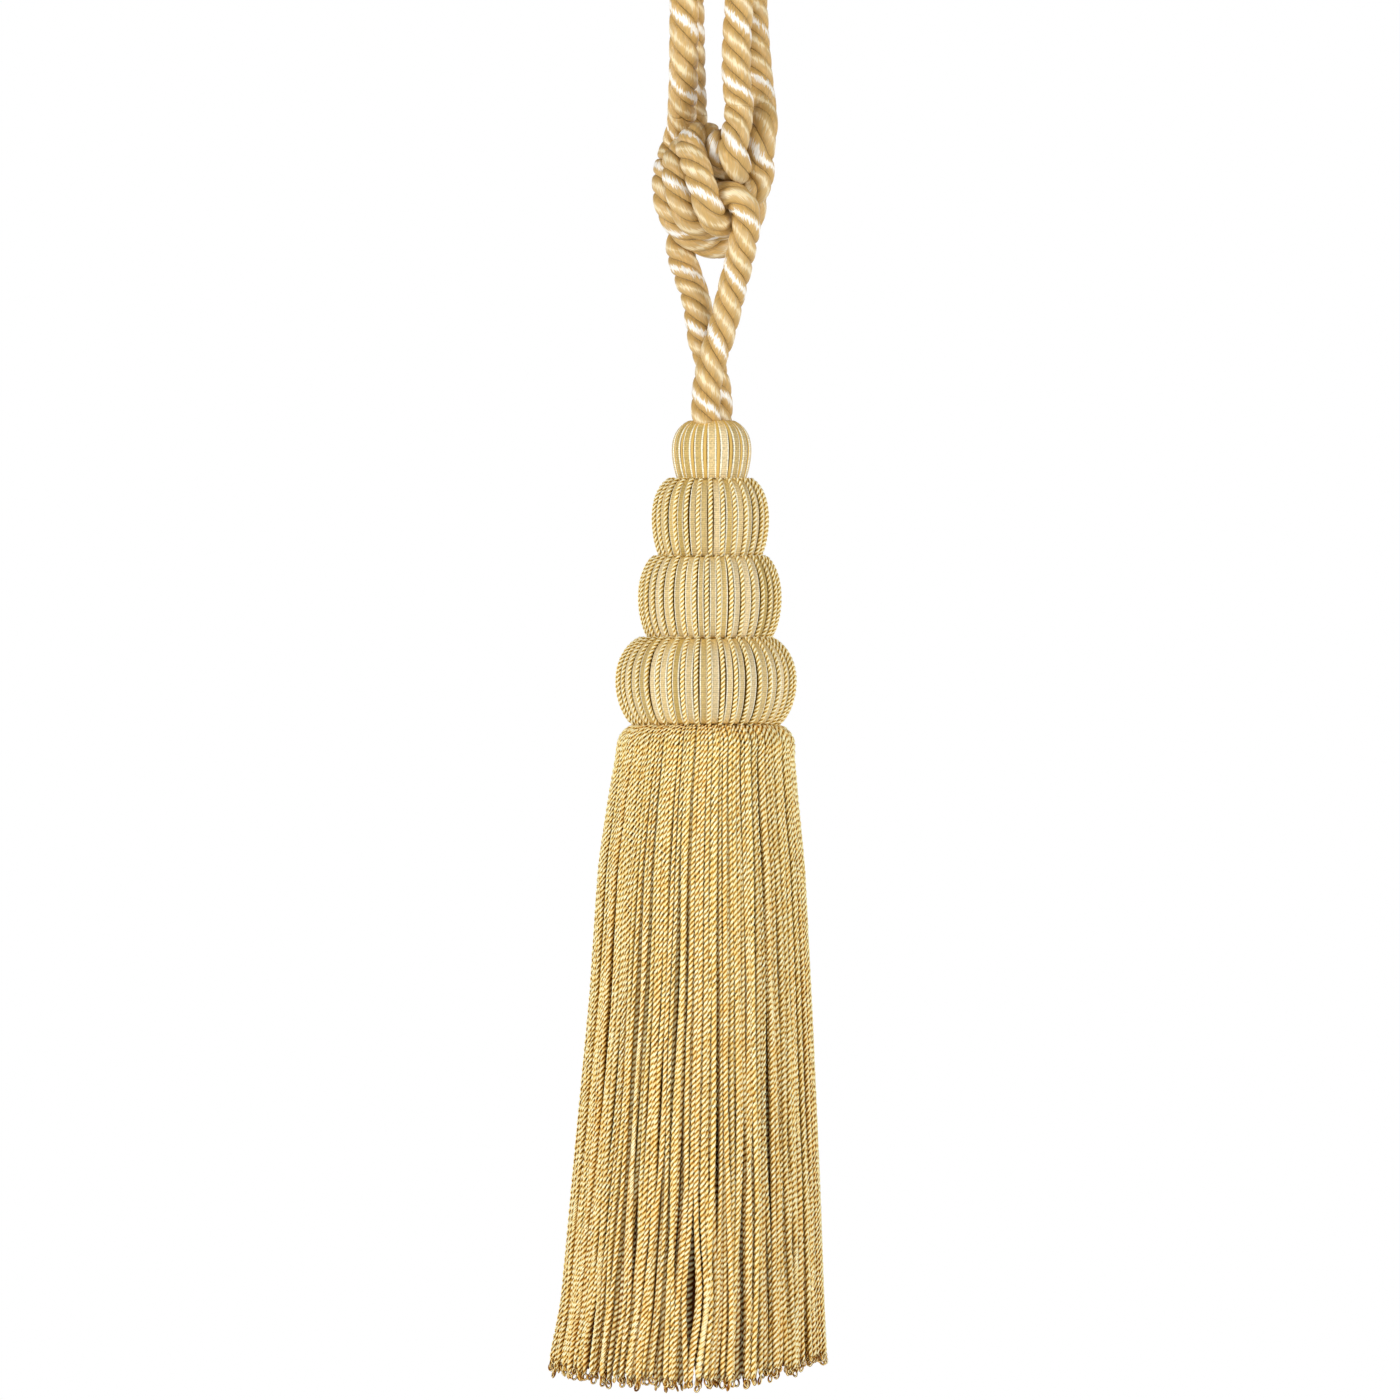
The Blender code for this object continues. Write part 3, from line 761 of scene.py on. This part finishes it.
def rope_material(name):
    """Lustrous plies: a painted highlight along their middles, one flecked white, painted groove
    shade.
    """
    material, tree, shader = node_tree(name)
    plies, along = lay_of(tree)
    place = ply_of(tree, plies)[1]
    across = times(tree, plies, FULL_TURN * ROPE_RADIUS / PLIES)
    fibres = streaks(tree, across, along, FIBRE_SLANT, ROPE_STREAKS)
    patches = streaks(tree, across, along, FIBRE_SLANT, ROPE_PATCHES, detail=2.0)
    frayed = maths(tree, "ADD", place, about_zero(tree, fibres, ROPE_FRAY))
    blurred = maths(tree, "ADD", frayed, about_zero(tree, patches, ROPE_BLUR))
    # Painted highlight down the middle of each ply
    glow = ramp(tree, blurred, ROPE_HIGHLIGHT_RAMP)
    colour = mixed(tree, "MIX", glow, (*GOLD_PLY, 1.0), (*ROPE_HIGHLIGHT, 1.0))
    # White yarn of one ply, shown brightest towards its crest as painted highlight
    white = times(tree, ramp(tree, blurred, ROPE_FLECK), tint_of(tree))
    colour = mixed(tree, "MIX", white, colour, (*CREAM_PLY, 1.0))
    # Painted shade in the grooves between plies
    colour = multiplied(tree, colour, ramp(tree, place, ROPE_GROOVE_SHADE))
    colour = multiplied(tree, colour, ramp(tree, fibres, ROPE_FIBRES))
    set_shader(tree, shader, colour, roughness=0.38, specular=0.5)
    bumped(tree, shader, fibres, strength=0.8, depth_mm=0.16)
    return material


def heading_material(name):
    """Plain ochre cloth with fine speckles."""
    material, tree, shader = node_tree(name)
    shade = ramp(tree, space_noise(tree, SPECKLE_SCALE, detail=2.0), SPECKLES)
    colour = multiplied(tree, (*HEADING_OCHRE, 1.0), shade)
    set_shader(tree, shader, colour, roughness=0.8, specular=0.5)
    return material


def srgb(red, green, blue):
    """A linear colour from the eight-bit colour seen in the photograph."""
    values = np.array((red, green, blue), float) / 255.0
    return np.where(values <= 0.04045, values / 12.92, ((values + 0.055) / 1.055) ** 2.4)


GOLD_PLY = srgb(201, 163, 97)
# White yarn of the flecked ply, which also carries its painted highlight
CREAM_PLY = srgb(254, 250, 240)
# Colour of the rope's painted highlight
ROPE_HIGHLIGHT = srgb(250, 231, 188)
CHAMPAGNE = srgb(225, 203, 157)
CHAMPAGNE_GOLD = srgb(200, 170, 98)
NECK_OCHRE = srgb(238, 194, 100)
RIBBON_EDGE = srgb(255, 251, 226)
BELL_SHADOW = srgb(126, 88, 10)
CORD_LEMON = srgb(234, 203, 120)
# Colour of the painted highlight on the bell cords
CORD_HIGHLIGHT = srgb(255, 251, 216)
SATIN_GOLD = srgb(214, 176, 96)
BULLION_GOLD = srgb(242, 198, 92)
BULLION_ORANGE = srgb(236, 182, 74)
# Colour of the painted highlight on the bullion yarn
BULLION_HIGHLIGHT = srgb(254, 249, 204)
HEADING_OCHRE = srgb(206, 152, 72)
# Added to the count of plies, so that each ply starts at a groove
PLY_START = 10.5
# Streaks of fibre: turns a millimetre across and along the yarn, slant and spread of the fray
STREAK_ROUGHNESS = 0.6
CORD_STREAKS = (4.0, 0.7)
CORD_SLANT = -0.8
CORD_FRAY = 0.7
ROPE_STREAKS = (2.3, 0.16)
ROPE_PATCHES = (0.45, 0.10)
ROPE_FRAY = 2.0
ROPE_BLUR = 0.9
# Weave of the ribbons, and speckles of the heading
WEAVE_SCALES = (1.5, 1.3)
RIB_PITCH = 0.62
PALE_SPECKLE = 0.8
SPECKLE_SCALE = (900.0, 900.0, 900.0)
SPECKLES = [(0.3, 0.85), (0.7, 1.1)]
# How strongly a yarn's plies take a painted highlight: by how squarely they face, and from crest
# to groove
CORD_FRONT = [(0.42, 0.0), (0.77, 1.0)]
CORD_CREST = [(0.0, 1.0), (0.30, 0.80), (0.68, 0.0)]
# The rope's painted highlight and white flecks from crest to groove (the flecks are a white yarn,
# brightest at the crest as painted highlight), the painted shade in its grooves and its fibres'
# shades
ROPE_HIGHLIGHT_RAMP = [(0.0, 1.0), (0.14, 0.72), (0.26, 0.22), (0.60, 0.0)]
ROPE_FLECK = [(0.18, 1.0), (0.36, 0.0)]
ROPE_GROOVE_SHADE = [(0.93, 1.0), (0.975, 0.62), (1.0, 0.24)]
ROPE_FIBRES = [(0.30, 0.72), (0.70, 1.16)]
# Patches of warmer and paler tone along the yarns, in turns a metre and shares of colour
TONE_SCALE = (600.0, 600.0, 260.0)
CORD_TONES = [(0.38, (0.99, 0.94, 0.84)), (0.55, (1.0, 1.0, 1.0))]
STRAND_TONES = [
    (0.36, (0.98, 0.87, 0.66)), (0.52, (1.0, 1.0, 1.0)), (0.66, (1.03, 1.05, 1.12)),
]
# Painted shade: share of a yarn's colour left where its plies face away, aside and outward
CORD_SIDE_SHADE = [
    (0.25, (0.56, 0.46, 0.24)), (0.50, (0.88, 0.80, 0.60)), (0.70, (1.0, 1.0, 1.0)),
]
STRAND_SIDE_SHADE = [
    (0.25, (0.22, 0.12, 0.02)), (0.43, (0.60, 0.46, 0.24)), (0.54, (0.88, 0.80, 0.60)),
    (0.68, (0.98, 0.95, 0.86)), (0.82, (1.0, 1.0, 1.0)),
]
# Painted shade: share of a yarn's colour left from a ply's side to the groove between plies
CORD_GROOVE_SHADE = [
    (0.50, (1.0, 1.0, 1.0)), (0.84, (0.84, 0.72, 0.46)), (1.0, (0.46, 0.34, 0.14)),
]
STRAND_GROOVE_SHADE = [
    (0.52, (1.0, 1.0, 1.0)), (0.80, (0.82, 0.70, 0.46)), (0.92, (0.50, 0.35, 0.15)),
    (1.0, (0.20, 0.10, 0.02)),
]


def build_ropes(material):
    """The rope's five stretches, each standing for its solid."""
    points, cuts = rope_route()
    fine, radii = fine_rope(points)
    along = run_lengths(fine)
    firsts, seconds = turning_frames(fine)
    angles, shares, whiteness = lobe_section()
    places, degrees = np.array(PLY_SHIFTS).T
    shift = np.radians(np.interp(along, places, degrees))
    turn = shift - FULL_TURN * along / ROPE_PITCH
    rings = rings_round(fine, radii[:, None] * shares, angles + turn[:, None], firsts, seconds)
    across = np.append(angles, angles[0] + FULL_TURN) * PLIES / FULL_TURN
    tints = np.repeat(whiteness[:, None], 3, axis=1)
    ends = [0] + [cut * FINE_STEPS for cut in cuts] + [len(fine) - 1]
    for name, start, stop in zip(ROPE_NAMES, ends, ends[1:]):
        part = slice(start, stop + 1)
        bundle = Bundle()
        bundle.add(rings[part], across, along[part], tints)
        piece = bundle.piece(name + "_rope", material)
        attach(piece, "root")
        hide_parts(name)


def bell_profile(row):
    """Radius, height, length and outward direction down one bell, tucked in at both ends."""
    z_top, z_foot, top, widest, foot = row[1:6]
    limit = math.radians(BELL_ARC)
    angle = np.linspace(-limit, limit, BELL_ROWS)
    level = (np.sin(angle) / math.sin(limit) + 1.0) / 2.0
    bulge = (np.cos(angle) - math.cos(limit)) / (1.0 - math.cos(limit))
    base = top + (foot - top) * level
    radius = base + (widest - base) * bulge - BELL_INSET
    z = z_top + (z_foot - z_top) * level
    radius = np.concatenate([top - TOP_NECK[:, 0], radius, foot - FOOT_NECK[:, 0]])
    z = np.concatenate([z_top - TOP_NECK[:, 1], z, z_foot + FOOT_NECK[:, 1]])
    along = run_lengths(np.column_stack([radius, z]))
    slope_r, slope_z = np.gradient(radius), np.gradient(z)
    size = np.hypot(slope_r, slope_z)
    return radius, z, along, -slope_z / size, slope_r / size


def necked(tints, profile):
    """The tints down a bell, turning ochre where the yarns crowd at its two necks."""
    neck = np.clip((np.abs(profile[4]) - NECK_SLOPE) / NECK_BLEND, 0.0, 1.0)[:, None, None]
    return tints * (1.0 - NECK_TINT * neck) + NECK_OCHRE * NECK_TINT * neck


def meridian_strip(bundle, profile, angle, half_width, limit, section, tints):
    """A ribbon laid down a bell at an angle, narrowing where the bell draws in."""
    radius, z, along, out_r, out_z = profile
    spread, rise = section.T
    half = np.minimum(half_width / radius, limit)
    a = angle + half[:, None] * spread
    r = radius[:, None] + out_r[:, None] * rise
    h = z[:, None] + out_z[:, None] * rise
    rings = np.stack([r * np.cos(a), r * np.sin(a), h], axis=-1)
    bundle.add(rings, spread * half_width, along, necked(tints, profile), closed=False)


def meridian_cord(bundle, profile, angle, phase, tint):
    """A two-ply cord laid down a bell at an angle."""
    radius, z, along, out_r, out_z = profile
    count = int(along[-1] / CORD_TURN * CORD_RINGS_PER_TURN)
    places = np.linspace(0.0, along[-1], count)
    c, s = math.cos(angle), math.sin(angle)
    first = np.stack([out_r * c, out_r * s, out_z], axis=-1)
    line = np.stack([radius * c, radius * s, z], axis=-1) + CORD_LIFT * first
    turned = phase - FULL_TURN * places / CORD_TURN
    rings = rings_round(
        at_places(places, along, line), CORD_RADIUS * YARN_SHARES,
        YARN_ANGLES + turned[:, None], at_places(places, along, first),
        np.tile([-s, c, 0.0], (count, 1)))
    bundle.add(rings, YARN_ACROSS, turned * CORD_TURN / FULL_TURN, tint)


def build_core(name, profile, material):
    """The mould that shows between a bell's ribbons, in the painted shadow colour."""
    radius, z, along, out_r, out_z = profile
    a = FULL_TURN * np.arange(CORE_SIDES) / CORE_SIDES
    r = (radius - BELL_CORE_SINK * out_r)[:, None]
    h = (z - BELL_CORE_SINK * out_z)[:, None]
    rings = np.stack([r * np.cos(a), r * np.sin(a), h + 0.0 * a], axis=-1)
    tints = necked(np.broadcast_to(BELL_SHADOW, (CORE_SIDES, 3)), profile)
    core = Bundle()
    core.add(rings[::-1], np.arange(CORE_SIDES + 1) / 2.0, along, tints[::-1])
    return core.piece(name + "_core", material)


def ribbon_tints(chance, edges):
    """Tints across a ribbon: painted shadow at its rims, pale at its edges and a champagne body.
    """
    gold = chance.uniform(0.0, 1.0) ** GOLD_POWER
    body = CHAMPAGNE + (CHAMPAGNE_GOLD - CHAMPAGNE) * gold
    body = body * chance.uniform(*RIBBON_LIGHT)
    left, right = (body + (RIBBON_EDGE - body) * edge for edge in chance.choice(edges))
    # Painted shade where the body dips beside its raised edges
    dim = body * BODY_SHADE
    return np.array([BELL_SHADOW, left, left, dim, body, body, dim, right, right, BELL_SHADOW])


def build_bell(row, chance, materials):
    """One bell: its mould, its ribbons and the cords, or the satin strips, between them."""
    name, widest, wraps, shift = row[0], row[4], row[6], row[7]
    satin_bell = name == SATIN_BELL
    profile = bell_profile(row)
    core_piece = build_core(name, profile, materials["ribbon"])
    ribbons = Bundle()
    cords = Bundle()
    pitch = FULL_TURN / wraps
    # Satin strips: gold with painted shadow at their rims
    satin = np.array([BELL_SHADOW, SATIN_GOLD, SATIN_GOLD, SATIN_GOLD, BELL_SHADOW])
    satin_width = SATIN_SHARE * pitch
    share = SATIN_BELL_SHARE if satin_bell else RIBBON_SHARE
    for k in range(wraps):
        tints = ribbon_tints(chance, EDGE_PAIRS[:1] if satin_bell else EDGE_PAIRS)
        width = share * chance.uniform(*RIBBON_WIDTH) * pitch
        place = (k + 0.5 + chance.uniform(-RIBBON_SCATTER, RIBBON_SCATTER)) * pitch
        meridian_strip(ribbons, profile, place, width * widest / 2.0, width * RIBBON_LIMIT,
                       RIBBON_SECTION, tints)
        if satin_bell:
            meridian_strip(cords, profile, k * pitch, satin_width * widest / 2.0,
                           satin_width * SATIN_LIMIT, SATIN_SECTION, satin)
        else:
            meridian_cord(cords, profile, k * pitch, chance.uniform(0.0, ROUGH_TURN),
                          CORD_LEMON * chance.uniform(*CORD_LIGHT))
    pieces = [core_piece, ribbons.piece(name + "_ribbons", materials["ribbon"]),
              cords.piece(name + "_cords", materials["satin" if satin_bell else "cord"])]
    for piece in pieces:
        piece.data.transform(Matrix.Translation((shift * MM, 0.0, 0.0)))
        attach(piece, "root")
        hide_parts(name)


def skirt_rows():
    """The skirt's outer radius and sideways shift on an even, smoothed scale of depth."""
    depths, radii, shifts = np.array(SKIRT_ROWS).T
    reach = np.interp(SKIRT_DEPTHS, depths, radii)
    shift = np.interp(SKIRT_DEPTHS, depths, shifts)
    return smoothed(reach, SKIRT_WINDOW), smoothed(shift, SKIRT_WINDOW)


def strand_line(chance, angle, top_sink, foot_sink, end_z, rows, step):
    """Centre points of a strand from its root, over the shoulder and down."""
    reach, shift = rows
    arc = SHOULDER_ARC - STRAND_RADIUS - top_sink
    radius = np.append(ROOT_REACH, SHOULDER_CENTRE + arc * np.cos(SHOULDER_TURNS))
    z = np.append(SHOULDER_Z + arc, SHOULDER_Z + arc * np.sin(SHOULDER_TURNS)) + ROOT_LIFT
    z_down = np.linspace(SHOULDER_Z - DROP_START, end_z, DROP_POINTS)
    share = np.clip((SHOULDER_Z - z_down) / (SHOULDER_Z - SKIRT_END_Z), 0.0, 1.0)
    sink = top_sink + (foot_sink - top_sink) * share ** SINK_POWER
    radius_down = np.interp(-z_down, SKIRT_DEPTHS, reach) - STRAND_RADIUS - sink
    shift_down = np.interp(-z_down, SKIRT_DEPTHS, shift)
    shifts = np.append(np.full(len(z), HEADING_SHIFT), shift_down)
    sideways, outward = sway(chance, angle, np.append(np.zeros(len(z)), share))
    radius = np.append(radius, radius_down)
    z = np.append(z, z_down)
    a = angle + sideways / np.maximum(radius, SWAY_REACH)
    r = radius + outward
    line = np.stack([r * np.cos(a) + shifts, r * np.sin(a), z], axis=-1)
    along = run_lengths(line)
    places = np.linspace(0.0, along[-1], int(along[-1] / step) + 1)
    return at_places(places, along, line), places


def sway(chance, angle, share):
    """Sideways and outward wander of a strand at each share of its drop."""
    waves = chance.uniform(*SWAY_WAVES)
    start = chance.uniform(0.0, ROUGH_TURN)
    size = chance.uniform(*SWAY_SIZES)
    outward = chance.uniform(*SWAY_OUTWARD)
    lean = chance.gauss(0.0, LEAN_SPREAD)
    stray = chance.gauss(0.0, STRAY_SPREAD)
    from_split = (math.degrees(angle) - SPLIT_DEGREES + 180.0) % 360.0 - 180.0
    far = abs(from_split) / SPLIT_REACH
    calm = min(1.0, SPLIT_CALM + far)
    parting = math.copysign(SPLIT_WIDTH * max(1.0 - far, 0.0), from_split)
    opened = parting * np.exp(-((share - SPLIT_SHARE) / SPLIT_LENGTH) ** 2)
    local = size * (np.sin(start + ROUGH_TURN * waves * share) - math.sin(start))
    clump = sum(
        high * np.sin(turns * angle + first + down * share) for high, turns, first, down in CLUMPS)
    late = np.clip((share - STRAY_START) / (1.0 - STRAY_START), 0.0, 1.0) ** STRAY_POWER
    moved = share * (local + lean) + clump * share ** CLUMP_POWER + stray * late
    return calm * moved + opened, outward * share ** OUTWARD_POWER


def strand_rings(line, along, radii, turn_length, phase, kind):
    """Rings round a strand, with the lay across it and the lay along it at each ring."""
    ahead = headings(line)
    middle = line[-1] * np.array([1.0, 1.0, 0.0])
    outward = middle / np.linalg.norm(middle)
    side = np.cross(ahead, outward)
    side /= np.linalg.norm(side, axis=1)[:, None]
    first = np.cross(side, ahead)
    turned = phase + FULL_TURN * along / turn_length
    for size, length, shift in TWIST_WANDER:
        turned += size * np.sin(along / length + shift * phase)
    if kind == "lobed":
        angles = YARN_ANGLES + turned[:, None]
        across = YARN_ACROSS
        reach = radii[:, None] * YARN_SHARES
    else:
        section = FULL_TURN * np.arange(ROUND_SIDES + 1) / ROUND_SIDES
        angles = section[:-1]
        across = (section - turned[:, None]) / math.pi
        reach = radii[:, None]
    rings = rings_round(line, reach, angles, first, side)
    return rings, across, turned * STRAND_TURN / FULL_TURN


def tip_loop(bundle, chance, tip, tint):
    """The little eye of yarn that closes a bullion strand's end."""
    turn = chance.uniform(0.0, math.pi)
    wide = LOOP_RADIUS * chance.uniform(*LOOP_WIDTHS)
    tall = wide * chance.uniform(*LOOP_HEIGHTS)
    side = np.array([math.cos(turn), math.sin(turn), 0.0])
    down = np.array([chance.uniform(*LOOP_TILT), chance.uniform(*LOOP_TILT), -1.0])
    line = (tip + (tall * (1.0 - np.cos(LOOP_ANGLES)))[:, None] * down
            + (wide * np.sin(LOOP_ANGLES))[:, None] * side)
    normal = np.broadcast_to(np.cross(side, down / np.linalg.norm(down)), line.shape)
    rings = rings_round(line, LOOP_YARN, LOOP_SECTION, normal, np.cross(headings(line), normal))
    across = np.append(LOOP_SECTION, FULL_TURN) / math.pi
    bundle.add(rings, across, run_lengths(line), tint)


def build_strand(bundle, chance, angle, number, rows):
    """One bullion strand of a numbered layer, from its root to its tip."""
    top_sink, foot_sink, kind, depth_shade, radius = SKIRT_LAYERS[number][1:]
    side = math.cos(angle)
    end_z = SKIRT_END_Z + SIDE_RISE * side ** 2 + RIGHT_RISE * max(side, 0.0)
    end_z += chance.uniform(0.0, END_SCATTER)
    line, along = strand_line(
        chance, angle, top_sink + chance.uniform(0.0, SINK_SCATTER), foot_sink, end_z, rows,
        STRAND_STEPS[kind])
    share = along / along[-1]
    near_end = np.clip((along[-1] - along) / TIP_LENGTH, 0.0, 1.0)
    radii = np.full(len(line), radius * chance.uniform(*STRAND_SIZES))
    radii *= ROOT_SIZE + SIZE_GROWTH * share
    radii *= TIP_SIZE + (1.0 - TIP_SIZE) * near_end ** TIP_POWER
    rings, across, turned = strand_rings(
        line, along, radii, STRAND_TURN * chance.uniform(*TURN_SHARES),
        chance.uniform(0.0, ROUGH_TURN), kind)
    warm = chance.uniform(0.0, 1.0)
    tint = BULLION_GOLD + (BULLION_ORANGE - BULLION_GOLD) * warm
    # Deeper layers darkened and warmed as painted shade
    tint = tint * chance.uniform(*STRAND_LIGHT) * depth_shade ** SHADE_WARMTH
    pale = np.clip(PALE_START - share, 0.0, 1.0)[:, None, None]
    # Painted shade at the crowded roots under the last bell
    root_shade = np.clip((CROWDED_END - along) / CROWDED_BLEND, 0.0, 1.0)[:, None, None]
    tints = tint * (1.0 + PALE_SHOULDER * pale) * ROOT_SHADE ** root_shade
    bundle.add(rings, across, turned, tints)
    if number < LOOPED_LAYERS:
        tip_loop(bundle, chance, line[-1], tint)


def build_skirt(chance, material):
    """Twisted bullion strands in layers, rooted under the last bell."""
    rows = skirt_rows()
    batches = []
    for number, layer in enumerate(SKIRT_LAYERS):
        count, kind = layer[0], layer[3]
        for strand in range(count):
            if strand % BATCH_STRANDS[kind] == 0:
                batches.append((Bundle(), kind))
            place = strand + 0.5 * (number % 2)
            place += chance.uniform(-PLACE_SCATTER, PLACE_SCATTER)
            build_strand(batches[-1][0], chance, FULL_TURN * place / count, number, rows)
    for i, (bundle, kind) in enumerate(batches):
        piece = bundle.piece(f"skirt_{kind}_{i + 1}", material)
        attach(piece, "root")
        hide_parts("skirt")


def build_heading(material):
    """The round heading that the strands' roots are sewn to."""
    bpy.ops.mesh.primitive_cylinder_add(
        vertices=64, radius=HEADING_RADIUS * MM, depth=HEADING_HEIGHT * MM,
        location=(HEADING_SHIFT * MM, 0.0, HEADING_Z * MM))
    heading = bpy.context.active_object
    heading.name = "skirt_heading"
    heading.data.materials.append(material)
    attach(heading, "root")
    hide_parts("skirt")


def build_surroundings():
    """White surroundings that darken upward."""
    world = bpy.data.worlds.new("studio")
    bpy.context.scene.world = world
    world.use_nodes = True
    tree = world.node_tree
    direction = tree.nodes.new("ShaderNodeTexCoord")
    split = add_node(tree, "ShaderNodeSeparateXYZ", Vector=direction.outputs["Generated"])
    height = maths(tree, "MAXIMUM", split.outputs[2], 0.0)
    background = tree.nodes["Background"]
    tree.links.new(ramp(tree, height, SKY_BAND), background.inputs[0])
    background.inputs[1].default_value = 1.0


def build_floor():
    """A pale round floor whose own glow grows outward, so that its far side stays pale."""
    bpy.ops.mesh.primitive_circle_add(
        vertices=96, radius=FLOOR_RADIUS, fill_type="NGON", location=(0.0, 0.0, FLOOR_Z * MM))
    floor = bpy.context.active_object
    floor.name = "floor"
    material, tree, shader = node_tree("pale_floor")
    shader.inputs["Base Color"].default_value = (0.95, 0.95, 0.94, 1.0)
    shader.inputs["Roughness"].default_value = 0.9
    spot = tree.nodes.new("ShaderNodeTexCoord")
    reach = add_node(tree, "ShaderNodeVectorMath", Vector=spot.outputs["Object"])
    reach.operation = "LENGTH"
    share = maths(tree, "DIVIDE", reach.outputs["Value"], FLOOR_RADIUS)
    tree.links.new(ramp(tree, share, FLOOR_GLOW), shader.inputs["Emission Color"])
    shader.inputs["Emission Strength"].default_value = 1.0
    floor.data.materials.append(material)


def build_lights():
    """Soft round lights that face the middle of the tassel."""
    for name, place, size, power in LIGHTS:
        data = bpy.data.lights.new(name, "AREA")
        data.shape = "DISK"
        data.size = size
        data.energy = power
        lamp = bpy.data.objects.new(name, data)
        lamp.location = place
        aim = Vector(LIGHT_TARGET) - Vector(place)
        lamp.rotation_euler = aim.to_track_quat("-Z", "Y").to_euler()
        bpy.context.scene.collection.objects.link(lamp)


def build_camera():
    """The camera level with the photograph's middle, with the photograph's width in view."""
    lens = bpy.data.cameras.new("camera")
    camera = bpy.data.objects.new("camera", lens)
    bpy.context.scene.collection.objects.link(camera)
    bpy.context.scene.camera = camera
    frame_width = PIXEL_MM * PHOTO_SIDE
    middle_x = (PHOTO_SIDE / 2.0 - ORIGIN_PIXEL_X) * PIXEL_MM
    middle_z = TOP_EDGE_Z - frame_width / 2.0
    camera.location = Vector((middle_x, -CAMERA_DISTANCE, middle_z)) * MM
    camera.rotation_euler = (math.radians(90.0), 0.0, 0.0)
    lens.sensor_width = SENSOR_MM
    lens.lens = SENSOR_MM * CAMERA_DISTANCE / frame_width


def main():
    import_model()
    build_camera()
    build_surroundings()
    build_floor()
    build_lights()
    bpy.context.scene.view_settings.view_transform = "Standard"
    build_ropes(rope_material("rope_yarn"))
    materials = {
        "ribbon": ribbon_material("champagne_ribbon", roughness=0.5, ribs=0.12, speckle=0.30),
        "cord": cord_material(
            "bell_cord", CORD_RADIUS, CORD_TURN, CORD_HIGHLIGHT, CORD_SIDE_SHADE, CORD_GROOVE_SHADE,
            CORD_TONES),
        "satin": ribbon_material("gold_satin", roughness=0.26, ribs=0.0, speckle=0.06),
    }
    chance = random.Random(SKIRT_SEED)
    for row in BELLS:
        build_bell(row, chance, materials)
    bullion = cord_material(
        "bullion_yarn", STRAND_RADIUS, STRAND_TURN, BULLION_HIGHLIGHT,
        STRAND_SIDE_SHADE, STRAND_GROOVE_SHADE, STRAND_TONES)
    build_heading(heading_material("heading_cloth"))
    build_skirt(chance, bullion)


main()
